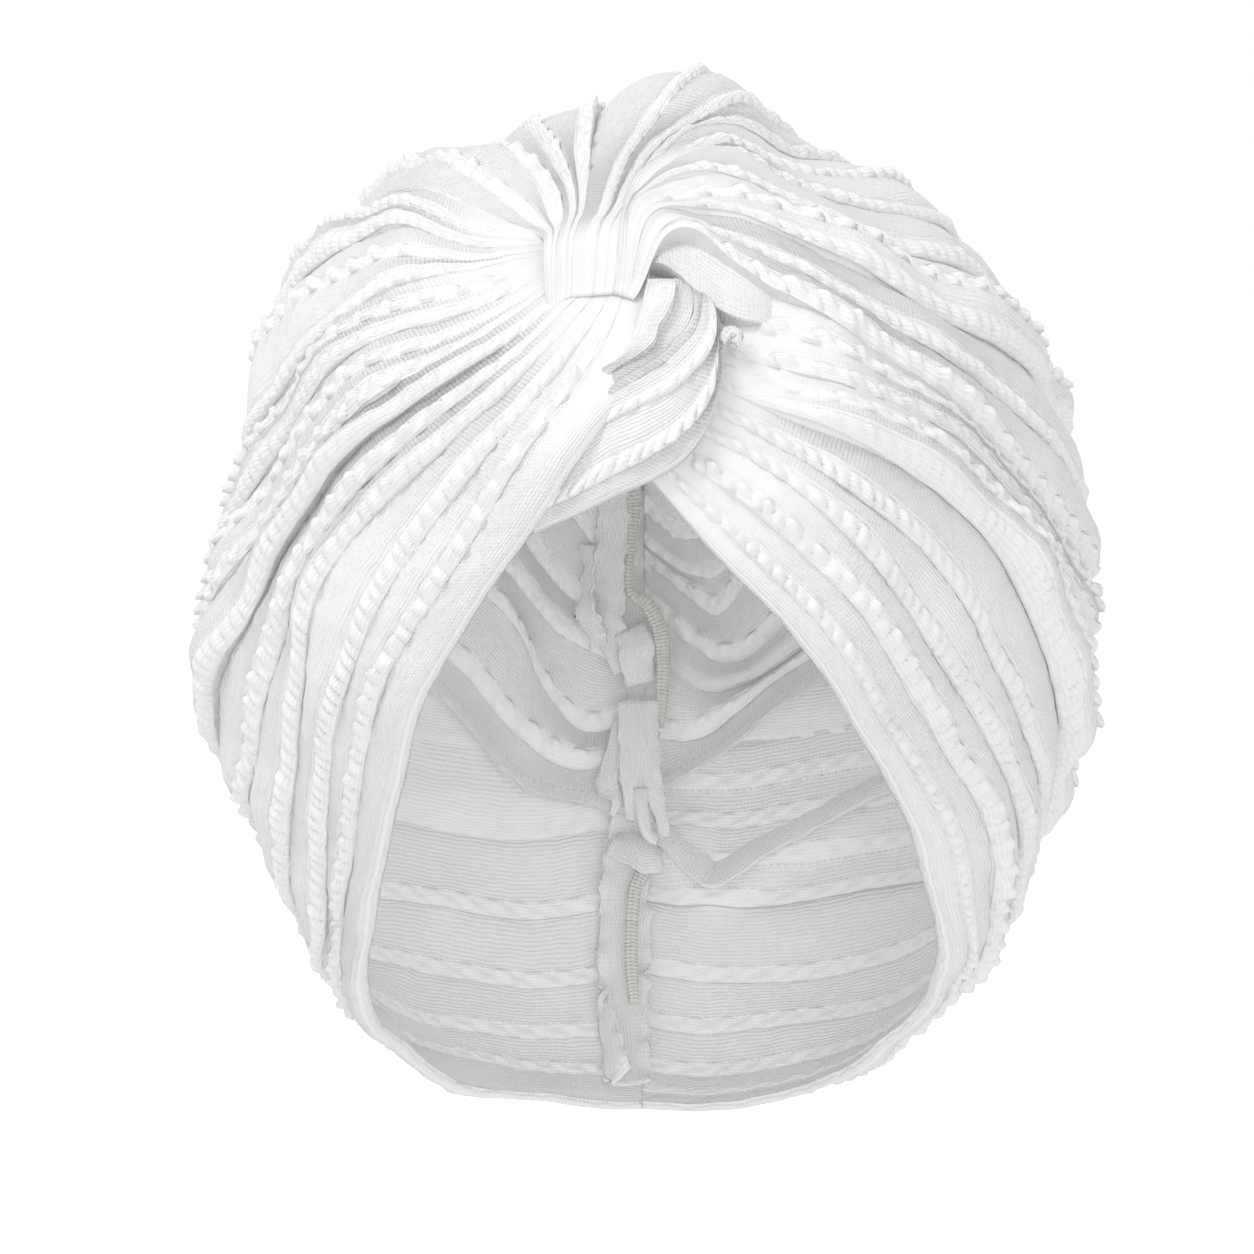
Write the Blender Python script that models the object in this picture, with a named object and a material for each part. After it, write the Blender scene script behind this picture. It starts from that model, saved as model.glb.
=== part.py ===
"""White knitted turban hat with a twisted front, as it stands when a head fills it.

Every cloth piece is a slab of knit that is cut flat and draped on one head form. A table gives
the creases of each piece, a row for each fold, as places on the form that the crease passes.
A place is (bearing, height) in degrees as seen from the middle of the head: bearing 0 is the
front, plus is the wearer's left (+X), 180 is the centre back, and height 0 is level.
The front faces -Y. The origin is where the top of the head touches the crown inside.
"""
import bmesh
import bpy
import numpy as np
from mathutils import Vector
from typing import NamedTuple

MM = 0.001

# Head form, metres: half sizes of a rounded form that narrows and moves back towards the nape
HALF_WIDTH = 0.098
CROWN_RISE = 0.103
NAPE_FALL = 0.126
NAPE_EXTRA = 0.030
BACK_DEPTH = 0.108
BACK_TAPER = 0.035
BROW_DEPTH = 0.081
BROW_LEAN = 0.35
NECK_SHIFT = 0.060
NECK_SHIFT_POWER = 1.3
ROUNDNESS = 2.35

# Dents of the wearer's right side (-X): depth, level and reach up and down, metres
LEFT_DENTS = ((0.010, 0.036, 0.030), (0.008, -0.072, 0.024))

# Cloth
WALL = 0.0020
GAP = 0.0003
LINER_WALL = 0.0016
LINER_DEPTH = 0.0004
LINER_RELIEF = 0.0008
SEAM_WALL = 0.0018
SEAM_WIDTH = 0.013
SEAM_OFFSET = -0.0035
SEAM_WAVE = 0.0012
SEAM_WAVES_PER_DEGREE = 0.35
SEAM_SWAY = 0.0015
SEAM_SWAYS_PER_DEGREE = 0.21
SEAM_CURL = 5.0
SEAM_TOP = 46.0
SEAM_FOOT = -65.0
SEAM_STEP = (34.0, 44.0)
LOOP_LIFT = 0.0026
WRAP_LIFT = 0.0054
TUCK_REACH = 0.010
RISE_START = 0.006
RISE_REACH = 0.028
SEAM_FLATTEN = 0.45
SEAM_FLATTEN_FROM = 0.55
PEAK_RISE_SHARE = (0.0, 0.17)
PEAK_FALL_SHARE = (0.25, 0.52)
PEAK_LEAN = 1.7
PEAK_SHARPNESS = 1.4
LOOP_SWELL_SHARE = (0.12, 0.50)
LOOP_SINK_SHARE = (0.70, 1.00)
LOOP_SINK = 0.5

# Sections along each piece
PANEL_STATIONS = 20
LOOP_STATIONS = 11
LINER_STATIONS = 16
SEAM_STATIONS = 30
SEAM_COLUMNS = 5
SPLINE_STEPS = 24

# Where the head touches the crown from inside, measured up from the middle of the form
HEAD_SEAT = CROWN_RISE - LINER_DEPTH - LINER_WALL - LINER_RELIEF

# How a fold's height runs from its free lower edge to where the next fold covers it
FOLD_ACROSS = (0.04, 0.14, 0.42, 0.76)
FOLD_HEIGHT = (0.45, 1.00, 0.92, 0.50)


class Fold(NamedTuple):
    """A crease from the twist to the centre back, and the fold above it, its relief in millimetres."""

    name: str
    knot: tuple
    brow: tuple
    temple: tuple
    side: tuple
    flank: tuple
    rear: tuple
    seam: tuple
    relief: float
    peak: float = 0.0


LEFT_FOLDS = (
    Fold("hem", (0.5, 45), (-9, 20), (-25, -5), (-52, -39), (-92, -57), (-135, -64), (-180, -66), 5.5),
    Fold("hem_row", (-1, 45), (-14, 19), (-31, -5), (-57, -37), (-95, -52), (-135, -57), (-180, -59), 4.2),
    Fold("cheek", (-3, 45.5), (-18, 18), (-36, -2), (-55, -30), (-95, -45), (-135, -50), (-180, -51), 4.0),
    Fold("ear", (-4.5, 46), (-20, 22), (-42, 5), (-57, -22), (-93, -37), (-135, -42), (-180, -43), 4.2),
    Fold("valley", (-6, 46.5), (-21, 24.5), (-44, 10.5), (-62, -14), (-95, -29), (-135, -34), (-180, -35), 2.2),
    Fold("big", (-7, 47), (-20, 26.5), (-44, 16), (-64, -3), (-95, -18), (-135, -25), (-180, -27), 8.0),
    Fold("big_row", (-8.5, 47.5), (-22, 32), (-44, 20), (-66, 5), (-95, -9), (-135, -16), (-180, -19), 5.5),
    Fold("upper", (-10.5, 48), (-26, 34.5), (-48, 28), (-68, 15.5), (-97, 2), (-135, -8), (-180, -11), 5.5),
    Fold("top", (-12.5, 48.5), (-31, 41), (-51, 33), (-71, 23), (-98, 13), (-136, 1), (-180, -3), 6.0),
    Fold("top_row", (-14.5, 49.5), (-31, 46.5), (-52, 48), (-78, 42), (-104, 29), (-138, 12), (-180, 6), 6.5),
    Fold("crown_left", (-17, 51), (-29, 52), (-50, 54.5), (-82, 53), (-114, 42), (-146, 27), (-180, 16), 8.5),
)

RIGHT_FOLDS = (
    Fold("hem", (-3, 21), (10, 6.5), (29, -12.5), (57, -40), (90, -57), (135, -64), (180, -66), 4.0),
    Fold("cheek", (1, 22), (17, 9.5), (34, -7), (58, -28), (93, -49), (135, -56), (180, -58), 5.2),
    Fold("ear", (3.5, 24.5), (18, 15.5), (36, -2), (58, -21), (93, -41), (135, -48), (180, -50), 4.2),
    Fold("valley", (5, 27), (20, 18.5), (40, 3.5), (60, -15), (95, -33), (135, -41), (180, -43), 2.6),
    Fold("big", (6, 30), (21, 22.5), (44, 11.5), (62, -6), (95, -23), (135, -32), (180, -35), 8.0),
    Fold("big_row", (6, 34), (22, 28), (44, 19), (64, 3), (95, -13), (135, -23), (180, -27), 5.0),
    Fold("crown_right", (5, 43), (22, 37), (44, 23), (65, 8), (97, -5), (137, -14), (180, -19), 6.0),
)

CROWN_FOLDS = (
    Fold("crown_right", (5, 43), (22, 37), (44, 23), (65, 8), (97, -5), (137, -14), (180, -19), 6.0),
    Fold("over", (3, 44), (24, 40.5), (50, 29.5), (73, 17), (101, 4), (140, -6), (180, -11), 4.4),
    Fold("shade", (1, 44), (24, 44), (52, 38.5), (80, 29), (106, 17), (143, 4), (180, -3), 6.6),
    Fold("band", (-2, 43), (19, 53), (50, 47), (84, 36), (110, 25), (145, 12), (180, 5), 5.2),
    Fold("lift", (-4, 42.5), (8, 60.5), (46, 52), (88, 46), (118, 35), (149, 21), (180, 13), 5.0),
    Fold("ridge", (-7, 41.5), (0, 61), (34, 68), (94, 61), (127, 47), (156, 32), (180, 23), 6.0, 23.5),
    Fold("peak", (-10, 42), (-12, 56), (-24, 77), (-165, 82), (-173, 66), (-177, 52), (-180, 42), 9.0),
    Fold("rear_left", (-14, 44), (-20, 59), (-50, 68), (-106, 66), (-139, 53), (-163, 38), (-180, 30), 9.0),
    Fold("crown_left", (-17, 51), (-29, 52), (-50, 54.5), (-82, 53), (-114, 42), (-146, 27), (-180, 16), 8.5),
)


class Pleat(NamedTuple):
    """A crease of the rounded loop at the front of the twist, its relief in millimetres."""

    name: str
    neck: tuple
    shoulder: tuple
    belly: tuple
    turn: tuple
    tip: tuple
    relief: float


LOOP_PLEATS = (
    Pleat("outer_edge", (10, 46), (12, 37), (11, 28), (4, 18.5), (-10, 12.5), 4.2),
    Pleat("outer_row", (8.5, 46), (10, 36.5), (8, 27.5), (1, 20.5), (-9.7, 13.7), 4.8),
    Pleat("middle", (7, 46), (6.5, 36.5), (2.5, 29), (-3, 21.5), (-9.9, 14.8), 4.2),
    Pleat("inner", (4.6, 46), (3, 36.5), (-0.5, 29), (-5.2, 21.8), (-10.2, 15.9), 3.2),
    Pleat("under_hem", (1.8, 46), (-0.8, 37), (-3.9, 29.5), (-7.3, 22), (-10.3, 17), 2.0),
)


class LinerFold(NamedTuple):
    """A stripe of the inner layer, from the middle of the brow round one side to the back."""

    name: str
    brow: tuple
    temple: tuple
    side: tuple
    rear: tuple
    seam: tuple


LINER_FOLDS = (
    LinerFold("hem", (1, 22), (42, 14), (92, 6), (140, -7), (179.7, -27)),
    LinerFold("lower", (1, 27), (42, 26), (92, 24), (140, 8), (179.7, -12)),
    LinerFold("middle", (1, 33), (42, 40), (92, 44), (140, 27), (179.7, 5)),
    LinerFold("upper", (1, 40), (38, 54), (92, 65), (145, 50), (179.7, 27)),
    LinerFold("midline", (0.9, 48), (1.4, 72), (90, 89.2), (178.9, 72), (179.7, 50)),
)


def direction(bearing, height):
    """Unit vector of a place on the form."""
    bearing, height = np.radians(bearing), np.radians(height)
    level = np.cos(height)
    return np.stack([level * np.sin(bearing), -level * np.cos(bearing), np.sin(height)], -1)


def on_form(way, offset=0.0):
    """Point of the form in a direction, moved out by an offset, in the part's own frame."""
    way = way / np.linalg.norm(way, axis=-1, keepdims=True)
    share = way / (np.abs(way) ** ROUNDNESS).sum(-1, keepdims=True) ** (1.0 / ROUNDNESS)
    behind = np.maximum(share[..., 1], 0.0)
    below = np.maximum(-share[..., 2], 0.0)
    fall = NAPE_FALL + NAPE_EXTRA * behind * below ** 2
    z = np.where(share[..., 2] > 0.0, CROWN_RISE, fall) * share[..., 2]
    front = BROW_DEPTH + BROW_LEAN * z
    depth = np.where(share[..., 1] > 0.0, BACK_DEPTH - BACK_TAPER * below, front)
    y = depth * share[..., 1] + NECK_SHIFT * below ** NECK_SHIFT_POWER
    dent = sum(depth * np.exp(-((z - level) / reach) ** 2) for depth, level, reach in LEFT_DENTS)
    x = HALF_WIDTH * share[..., 0] + dent * np.maximum(-share[..., 0], 0.0) ** 2
    place = np.stack([x, y, z - HEAD_SEAT], -1)
    return place + way * np.asarray(offset)[..., None]


def spline(places, count):
    """Evenly spread directions on a smooth line through the places of one crease."""
    knots = direction(*np.array(places, float).T)
    knots = np.vstack([2 * knots[0] - knots[1], knots, 2 * knots[-1] - knots[-2]])
    fine = []
    for before, start, end, after in zip(knots, knots[1:], knots[2:], knots[3:]):
        t = np.linspace(0.0, 1.0, SPLINE_STEPS, endpoint=False)[:, None]
        fine.append(0.5 * (2 * start + (end - before) * t
                           + (2 * before - 5 * start + 4 * end - after) * t ** 2
                           + (3 * start - before - 3 * end + after) * t ** 3))
    fine = np.vstack(fine + [knots[-2][None]])
    fine = fine / np.linalg.norm(fine, axis=1, keepdims=True)
    run = np.concatenate([[0.0], np.linalg.norm(np.diff(on_form(fine), axis=0), axis=1).cumsum()])
    wanted = np.linspace(0.0, run[-1], count)
    even = np.stack([np.interp(wanted, run, fine[:, axis]) for axis in range(3)], -1)
    return even / np.linalg.norm(even, axis=1, keepdims=True), wanted


def smooth_step(value, low, high):
    """0 below low, 1 above high, and a soft rise between."""
    t = np.clip((value - low) / (high - low), 0.0, 1.0)
    return t * t * (3.0 - 2.0 * t)


def columns_across(rows, count):
    """Directions, run along the crease, fold height and peak for every column of a piece."""
    lines = [spline(places, count) for places, _, _ in rows]
    ways, runs, heights, peaks = [], [], [], []
    for (low, low_run), (high, high_run), (_, relief, peak) in zip(lines, lines[1:], rows):
        for across, height in zip(FOLD_ACROSS, FOLD_HEIGHT):
            ways.append(low + (high - low) * across)
            runs.append(low_run + (high_run - low_run) * across)
            heights.append(np.full(count, relief * height))
            lobe = np.sin(np.pi * across ** PEAK_LEAN) ** PEAK_SHARPNESS
            peaks.append(np.full(count, peak * lobe))
    ways.append(lines[-1][0])
    runs.append(lines[-1][1])
    heights.append(np.zeros(count))
    peaks.append(np.zeros(count))
    ways[0] = lines[0][0]
    return np.array(ways), np.array(runs), np.array(heights), np.array(peaks)


def pull_in_edges(points):
    """Move the first and last column inwards, so that pieces that meet keep a gap."""
    for edge, inner in ((0, 1), (-1, -2)):
        step = points[inner] - points[edge]
        points[edge] += step / np.linalg.norm(step, axis=1, keepdims=True) * GAP
    for edge, inner in ((0, 1), (-1, -2)):
        step = points[:, inner] - points[:, edge]
        points[:, edge] += step / np.linalg.norm(step, axis=1, keepdims=True) * GAP


def knit(name, colour):
    """White knitted cloth."""
    material = bpy.data.materials.new(name)
    material.use_nodes = True
    shader = material.node_tree.nodes["Principled BSDF"]
    shader.inputs["Base Color"].default_value = (*colour, 1.0)
    shader.inputs["Roughness"].default_value = 0.85
    shader.inputs["Metallic"].default_value = 0.0
    shader.inputs["Sheen Weight"].default_value = 0.3
    return material


def drape(name, outer, inner, material):
    """Cut a slab of cloth flat and drape it: outer and inner are points by column and station."""
    columns, stations = outer.shape[:2]
    mesh = bpy.data.meshes.new(name)
    cloth = bmesh.new()
    bmesh.ops.create_grid(cloth, x_segments=columns - 1, y_segments=stations - 1, size=0.5)
    backing = bmesh.ops.extrude_face_region(cloth, geom=cloth.faces[:], use_keep_orig=True)
    layer = {vert: outer for vert in cloth.verts}
    layer.update({item: inner for item in backing["geom"] if isinstance(item, bmesh.types.BMVert)})
    for vert, points in layer.items():
        column = round((vert.co.x + 0.5) * (columns - 1))
        station = round((vert.co.y + 0.5) * (stations - 1))
        vert.co = Vector(points[column, station])
    bmesh.ops.recalc_face_normals(cloth, faces=cloth.faces[:])
    if cloth.calc_volume(signed=True) < 0.0:
        bmesh.ops.reverse_faces(cloth, faces=cloth.faces[:])
    bmesh.ops.triangulate(cloth, faces=cloth.faces[:])
    cloth.to_mesh(mesh)
    cloth.free()
    mesh.shade_smooth()
    mesh.set_sharp_from_angle(angle=np.radians(60))
    mesh.materials.append(material)
    piece = bpy.data.objects.new(name, mesh)
    bpy.context.scene.collection.objects.link(piece)
    return piece


def panel(name, folds, lift, material):
    """Front cloth that is gathered at the twist and runs to the centre-back seam."""
    rows = [(fold[1:8], fold.relief * MM, fold.peak * MM) for fold in folds]
    ways, runs, heights, peaks = columns_across(rows, PANEL_STATIONS)
    share = runs / runs[:, -1:]
    risen = smooth_step(runs, RISE_START, RISE_REACH)
    settled = 1.0 - SEAM_FLATTEN * smooth_step(share, SEAM_FLATTEN_FROM, 1.0)
    hump = smooth_step(share, *PEAK_RISE_SHARE) * (1.0 - smooth_step(share, *PEAK_FALL_SHARE))
    wrapped = lift * (1.0 - smooth_step(runs, TUCK_REACH, RISE_REACH))
    inside = heights * risen * settled + peaks * hump + wrapped
    outer = on_form(ways, inside + WALL)
    inner = on_form(ways, inside)
    pull_in_edges(outer)
    pull_in_edges(inner)
    return drape(name, outer, inner, material)


def knot_loop(material):
    """Rounded lobe of cloth that hangs over the forehead from the neck of the twist."""
    rows = [(pleat[1:6], pleat.relief * MM, 0.0) for pleat in LOOP_PLEATS]
    ways, runs, heights, _ = columns_across(rows, LOOP_STATIONS)
    share = runs / runs[:, -1:]
    swell = smooth_step(share, *LOOP_SWELL_SHARE) * (1.0 - LOOP_SINK * smooth_step(share, *LOOP_SINK_SHARE))
    inside = LOOP_LIFT + heights * swell
    outer = on_form(ways, inside + WALL)
    inner = on_form(ways, inside)
    pull_in_edges(outer)
    pull_in_edges(inner)
    return drape("knot_loop", outer, inner, material)


def inner_layer(name, sign, material):
    """One half of the second cloth layer inside the crown and back."""
    lines = []
    for row in LINER_FOLDS:
        places = [(sign * bearing, height) for bearing, height in row[1:]]
        lines.append(spline(places, LINER_STATIONS)[0])
    ways = []
    for low, high in zip(lines, lines[1:]):
        for across in (0.0, 0.5):
            way = low + (high - low) * across
            ways.append(way / np.linalg.norm(way, axis=1, keepdims=True))
    ways.append(lines[-1])
    ways = np.array(ways)
    ridge = np.where(np.arange(len(ways)) % 2 == 1, 1.0, 0.0)[:, None] * LINER_RELIEF
    outside = -LINER_DEPTH - LINER_RELIEF + ridge
    outer = on_form(ways, outside)
    inner = on_form(ways, outside - LINER_WALL)
    pull_in_edges(outer)
    pull_in_edges(inner)
    return drape(name, outer, inner, material)


def seam_allowance(material):
    """Raw seam edges, pressed to one side, down the inside of the centre back."""
    height = np.linspace(SEAM_TOP, SEAM_FOOT, SEAM_STATIONS)
    way = direction(np.full(SEAM_STATIONS, 180.0), height)
    spine = on_form(way)
    over_liner = 1.0 - smooth_step(-height, *SEAM_STEP)
    depth = LINER_DEPTH + 2.0 * GAP + over_liner * (LINER_RELIEF + LINER_WALL)
    wave = SEAM_WAVE * (0.5 + 0.5 * np.sin(height * SEAM_WAVES_PER_DEGREE))
    sway = SEAM_SWAY * np.sin(height * SEAM_SWAYS_PER_DEGREE)
    across = np.linspace(-0.5, 0.5, SEAM_COLUMNS)[:, None] * SEAM_WIDTH + SEAM_OFFSET
    outer = spine[None] - way[None] * (depth + wave + SEAM_CURL * across ** 2)[..., None]
    outer[..., 0] += across + sway
    inner = outer - way[None] * SEAM_WALL
    return drape("seam_allowance", outer, inner, material)


def main():
    """Clear the scene and build every piece of the hat."""
    for item in list(bpy.data.objects):
        bpy.data.objects.remove(item, do_unlink=True)
    panel("left_panel", LEFT_FOLDS, 0.0, knit("knit_left", (0.83, 0.83, 0.84)))
    panel("right_panel", RIGHT_FOLDS, 0.0, knit("knit_right", (0.83, 0.83, 0.84)))
    panel("crown_panel", CROWN_FOLDS, WRAP_LIFT, knit("knit_crown", (0.85, 0.85, 0.86)))
    knot_loop(knit("knit_loop", (0.84, 0.84, 0.85)))
    inner_layer("inner_layer_left", -1.0, knit("knit_inside_left", (0.74, 0.74, 0.76)))
    inner_layer("inner_layer_right", 1.0, knit("knit_inside_right", (0.74, 0.74, 0.76)))
    seam_allowance(knit("knit_seam", (0.80, 0.80, 0.80)))


main()
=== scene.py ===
"""Looks of the white knitted turban hat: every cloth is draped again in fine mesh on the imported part.

The hat is one jersey with rows of puffed bubbles between smooth bands. The rows run along the
creases of the folds, from the twist over the forehead to the seam at the centre back.
Places are (bearing, height) in degrees, seen from the middle of the head form, as in the part:
bearing 0 is the front, plus is the wearer's left (+X), 180 is the centre back.
"""
import logging
import math
from dataclasses import dataclass, field
from enum import Enum
from typing import NamedTuple

import bmesh
import bpy
import numpy as np
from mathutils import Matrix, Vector

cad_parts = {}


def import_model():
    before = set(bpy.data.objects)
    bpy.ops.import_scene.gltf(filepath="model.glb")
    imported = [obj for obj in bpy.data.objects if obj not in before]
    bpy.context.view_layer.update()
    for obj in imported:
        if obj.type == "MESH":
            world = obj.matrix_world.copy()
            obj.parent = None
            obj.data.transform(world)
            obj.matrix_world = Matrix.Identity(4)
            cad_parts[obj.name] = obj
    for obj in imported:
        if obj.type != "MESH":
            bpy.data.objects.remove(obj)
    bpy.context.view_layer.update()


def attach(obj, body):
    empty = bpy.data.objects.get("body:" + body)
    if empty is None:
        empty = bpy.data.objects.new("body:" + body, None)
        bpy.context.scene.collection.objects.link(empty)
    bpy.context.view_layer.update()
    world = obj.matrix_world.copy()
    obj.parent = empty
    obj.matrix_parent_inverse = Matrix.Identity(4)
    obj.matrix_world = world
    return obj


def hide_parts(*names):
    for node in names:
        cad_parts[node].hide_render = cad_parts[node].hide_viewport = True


LOG = logging.getLogger("turban_hat")
MM = 0.001
# In radians, to two digits.
FULL_TURN = 6.28
# How far from the twist the stitched lines begin to show, in metres.
STITCHED_FROM = (0.022, 0.030)


class Facing(Enum):
    """Which way the right side of a cloth looks."""

    OUT = 1.0
    IN = -1.0


class Fold(NamedTuple):
    """A crease from the twist to the centre back, the fold above it, and the bubble rows on it.

    Relief is in millimetres. Depth is how far the cloth goes down into the crease, as a
    share of the relief, and rows are shares across the fold where more bubble rows run.
    """

    name: str
    knot: tuple
    brow: tuple
    temple: tuple
    side: tuple
    flank: tuple
    rear: tuple
    seam: tuple
    relief: float
    depth: float
    edge_row: bool = True
    rows: tuple = ()


LEFT_FOLDS = (
    Fold("hem", (1.5, 43), (-0.8, 28.5), (-25, -5), (-52, -39), (-92, -57), (-135, -64), (-180, -66), 5.5,
         0.0, edge_row=False),
    Fold("hem_row", (-2.5, 42.5), (-9, 27.5), (-31, -5), (-57, -37), (-95, -52), (-135, -57), (-180, -59),
         4.2, 0.35),
    Fold("cheek", (-4.2, 42.8), (-13, 27.5), (-36, -2), (-55, -30), (-95, -45), (-135, -50), (-180, -51),
         4.0, 0.45),
    Fold("ear", (-5.8, 43.4), (-17.5, 27.5), (-42, 5), (-57, -22), (-93, -37), (-135, -42), (-180, -43),
         4.2, 0.60),
    Fold("valley", (-7.2, 44.2), (-20, 29), (-44, 10.5), (-62, -14), (-95, -29), (-135, -34), (-180, -35),
         3.2, 0.70),
    Fold("big", (-8.2, 45), (-21.5, 31), (-44, 16), (-64, -3), (-95, -18), (-135, -25), (-180, -27), 6.8,
         0.60),
    Fold("big_row", (-9.2, 46), (-23, 34), (-44, 20), (-66, 5), (-95, -9), (-135, -16), (-180, -19), 5.5,
         0.35, rows=(0.60,)),
    Fold("upper", (-10.6, 47.2), (-26, 37), (-48, 28), (-68, 15.5), (-97, 2), (-135, -8), (-180, -11), 5.5,
         0.60, rows=(0.58,)),
    Fold("top", (-12.5, 48.3), (-31, 42), (-51, 33), (-71, 23), (-98, 13), (-136, 1), (-180, -3), 6.0, 0.50,
         rows=(0.55,)),
    Fold("top_row", (-14.5, 49.5), (-31, 46.5), (-52, 48), (-78, 42), (-104, 29), (-138, 12), (-180, 6),
         6.5, 0.70, rows=(0.55,)),
    Fold("crown_left", (-17, 51), (-29, 52), (-50, 54.5), (-82, 53), (-114, 42), (-146, 27), (-180, 16),
         8.5, 0.6),
)

RIGHT_FOLDS = (
    Fold("hem", (-3, 21), (10, 6.5), (29, -12.5), (57, -40), (90, -57), (135, -64), (180, -66), 4.0, 0.0,
         edge_row=False, rows=(0.50,)),
    Fold("cheek", (1, 22), (17, 9.5), (34, -7), (58, -28), (93, -49), (135, -56), (180, -58), 5.2, 0.50),
    Fold("ear", (3.5, 24.5), (18, 15.5), (36, -2), (58, -21), (93, -41), (135, -48), (180, -50), 4.2, 0.50),
    Fold("valley", (5, 27), (20, 18.5), (40, 3.5), (60, -15), (95, -33), (135, -41), (180, -43), 2.6, 0.60),
    Fold("big", (6, 30), (21, 22.5), (44, 11.5), (62, -6), (95, -23), (135, -32), (180, -35), 8.0, 1.0,
         rows=(0.60,)),
    Fold("big_row", (6, 34), (22, 28), (44, 19), (64, 3), (95, -13), (135, -23), (180, -27), 5.0, 0.45,
         rows=(0.60,)),
    Fold("crown_right", (5, 43), (22, 37), (44, 23), (65, 8), (97, -5), (137, -14), (180, -19), 6.0, 0.45),
)


class CrownFold(NamedTuple):
    """A fold of the crown cloth, which first climbs over the twist. Otherwise as a fold."""

    name: str
    knot: tuple
    twist: tuple
    brow: tuple
    temple: tuple
    side: tuple
    flank: tuple
    rear: tuple
    seam: tuple
    relief: float
    depth: float
    edge_row: bool = True
    rows: tuple = ()


CROWN_FOLDS = (
    CrownFold("crown_right", (-1.6, 39.6), (6, 46), (20, 38), (44, 22.5), (65, 8), (97, -5), (137, -14),
              (180, -19), 6.0, 1.0),
    CrownFold("over", (-2.2, 39.8), (6.5, 48), (22.5, 41.5), (46.5, 27.5), (72, 15), (101, 4), (140, -6),
              (180, -11), 4.4, 0.45),
    CrownFold("shade", (-2.9, 40), (3.8, 50), (24, 46.5), (50, 34), (79, 27), (106, 17), (143, 4),
              (180, -3), 6.4, 0.9, rows=(0.55,)),
    CrownFold("band", (-3.6, 40.2), (0.4, 53.6), (22, 55.5), (50, 44.5), (84, 36), (110, 25), (145, 12),
              (180, 5), 5.2, 0.60),
    CrownFold("lift", (-4.3, 40.4), (-0.6, 54.8), (24, 62.5), (54, 53), (90, 46), (118, 35), (149, 21),
              (180, 13), 5.0, 0.50, rows=(0.55,)),
    CrownFold("ridge", (-5, 40.5), (-1.8, 56), (12, 66), (44, 68), (94, 61), (127, 47), (156, 32),
              (180, 23), 5.0, 0.60, rows=(0.30, 0.62)),
    CrownFold("peak", (-11.6, 40), (-12, 49), (-14, 62), (-30, 78), (-165, 82), (-173, 66), (-177, 52),
              (-180, 42), 9.0, 0.50, rows=(0.55,)),
    CrownFold("rear_left", (-13.8, 38.6), (-15.5, 50), (-22, 60), (-50, 68), (-106, 66), (-139, 53),
              (-163, 38), (-180, 30), 9.0, 0.80, rows=(0.55,)),
    CrownFold("crown_left", (-15, 37.4), (-18.5, 48.5), (-30, 52.3), (-50, 54.5), (-82, 53), (-114, 42),
              (-146, 27), (-180, 16), 8.5, 0.6),
)


class Pleat(NamedTuple):
    """A crease of the rounded loop at the front of the twist."""

    name: str
    neck: tuple
    shoulder: tuple
    belly: tuple
    turn: tuple
    tip: tuple
    relief: float
    depth: float
    edge_row: bool = True
    rows: tuple = ()


LOOP_PLEATS = (
    Pleat("outer_edge", (10, 40.5), (10.8, 33), (9.5, 25.5), (3.5, 17.7), (-14.5, 10), 2.6, 0.0, False),
    Pleat("border", (9.9, 40.5), (9.9, 31.5), (8, 24.5), (1.2, 18.9), (-14.5, 12), 3.4, 0.15),
    Pleat("strip", (9.4, 40.5), (9.5, 32.2), (6, 28), (1.2, 25.2), (-11, 20), 4.2, 0.55),
    Pleat("roll", (8.6, 40.5), (7.5, 34.2), (4.7, 30.9), (0.7, 28.3), (-10, 23), 4.6, 0.75, False),
    Pleat("hollow", (7.2, 41), (6.7, 35.4), (3.7, 32), (0.4, 29.7), (-9, 25), 2.2, 0.7, False),
    Pleat("pleat", (4.7, 41.5), (4.2, 37.2), (2.2, 33.8), (0.3, 31.1), (-8.5, 27), 4.4, 0.8, False),
    Pleat("tucked", (0.5, 41.5), (-1, 37), (-2.5, 33), (-4.5, 30.5), (-10, 28.5), -2.0, 0.0),
)

TWIST_FLAP = (
    Pleat("flap_edge", (-1.2, 44.4), (3.8, 42.4), (9.4, 37.8), (14, 35.4), (23, 34.6), 3.2, 1.0, False),
    Pleat("flap_top", (-1.6, 45.8), (1.8, 48.2), (10, 48.6), (17, 44.4), (26, 38.2), 2.6, 0.0, False),
)


class LinerFold(NamedTuple):
    """A crease of the inner layer, from the middle of the brow round one side to the back seam."""

    name: str
    brow: tuple
    temple: tuple
    side: tuple
    flank: tuple
    rear: tuple
    corner: tuple
    inner: tuple
    seam: tuple
    relief: float
    depth: float
    edge_row: bool = True
    rows: tuple = ()


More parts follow.
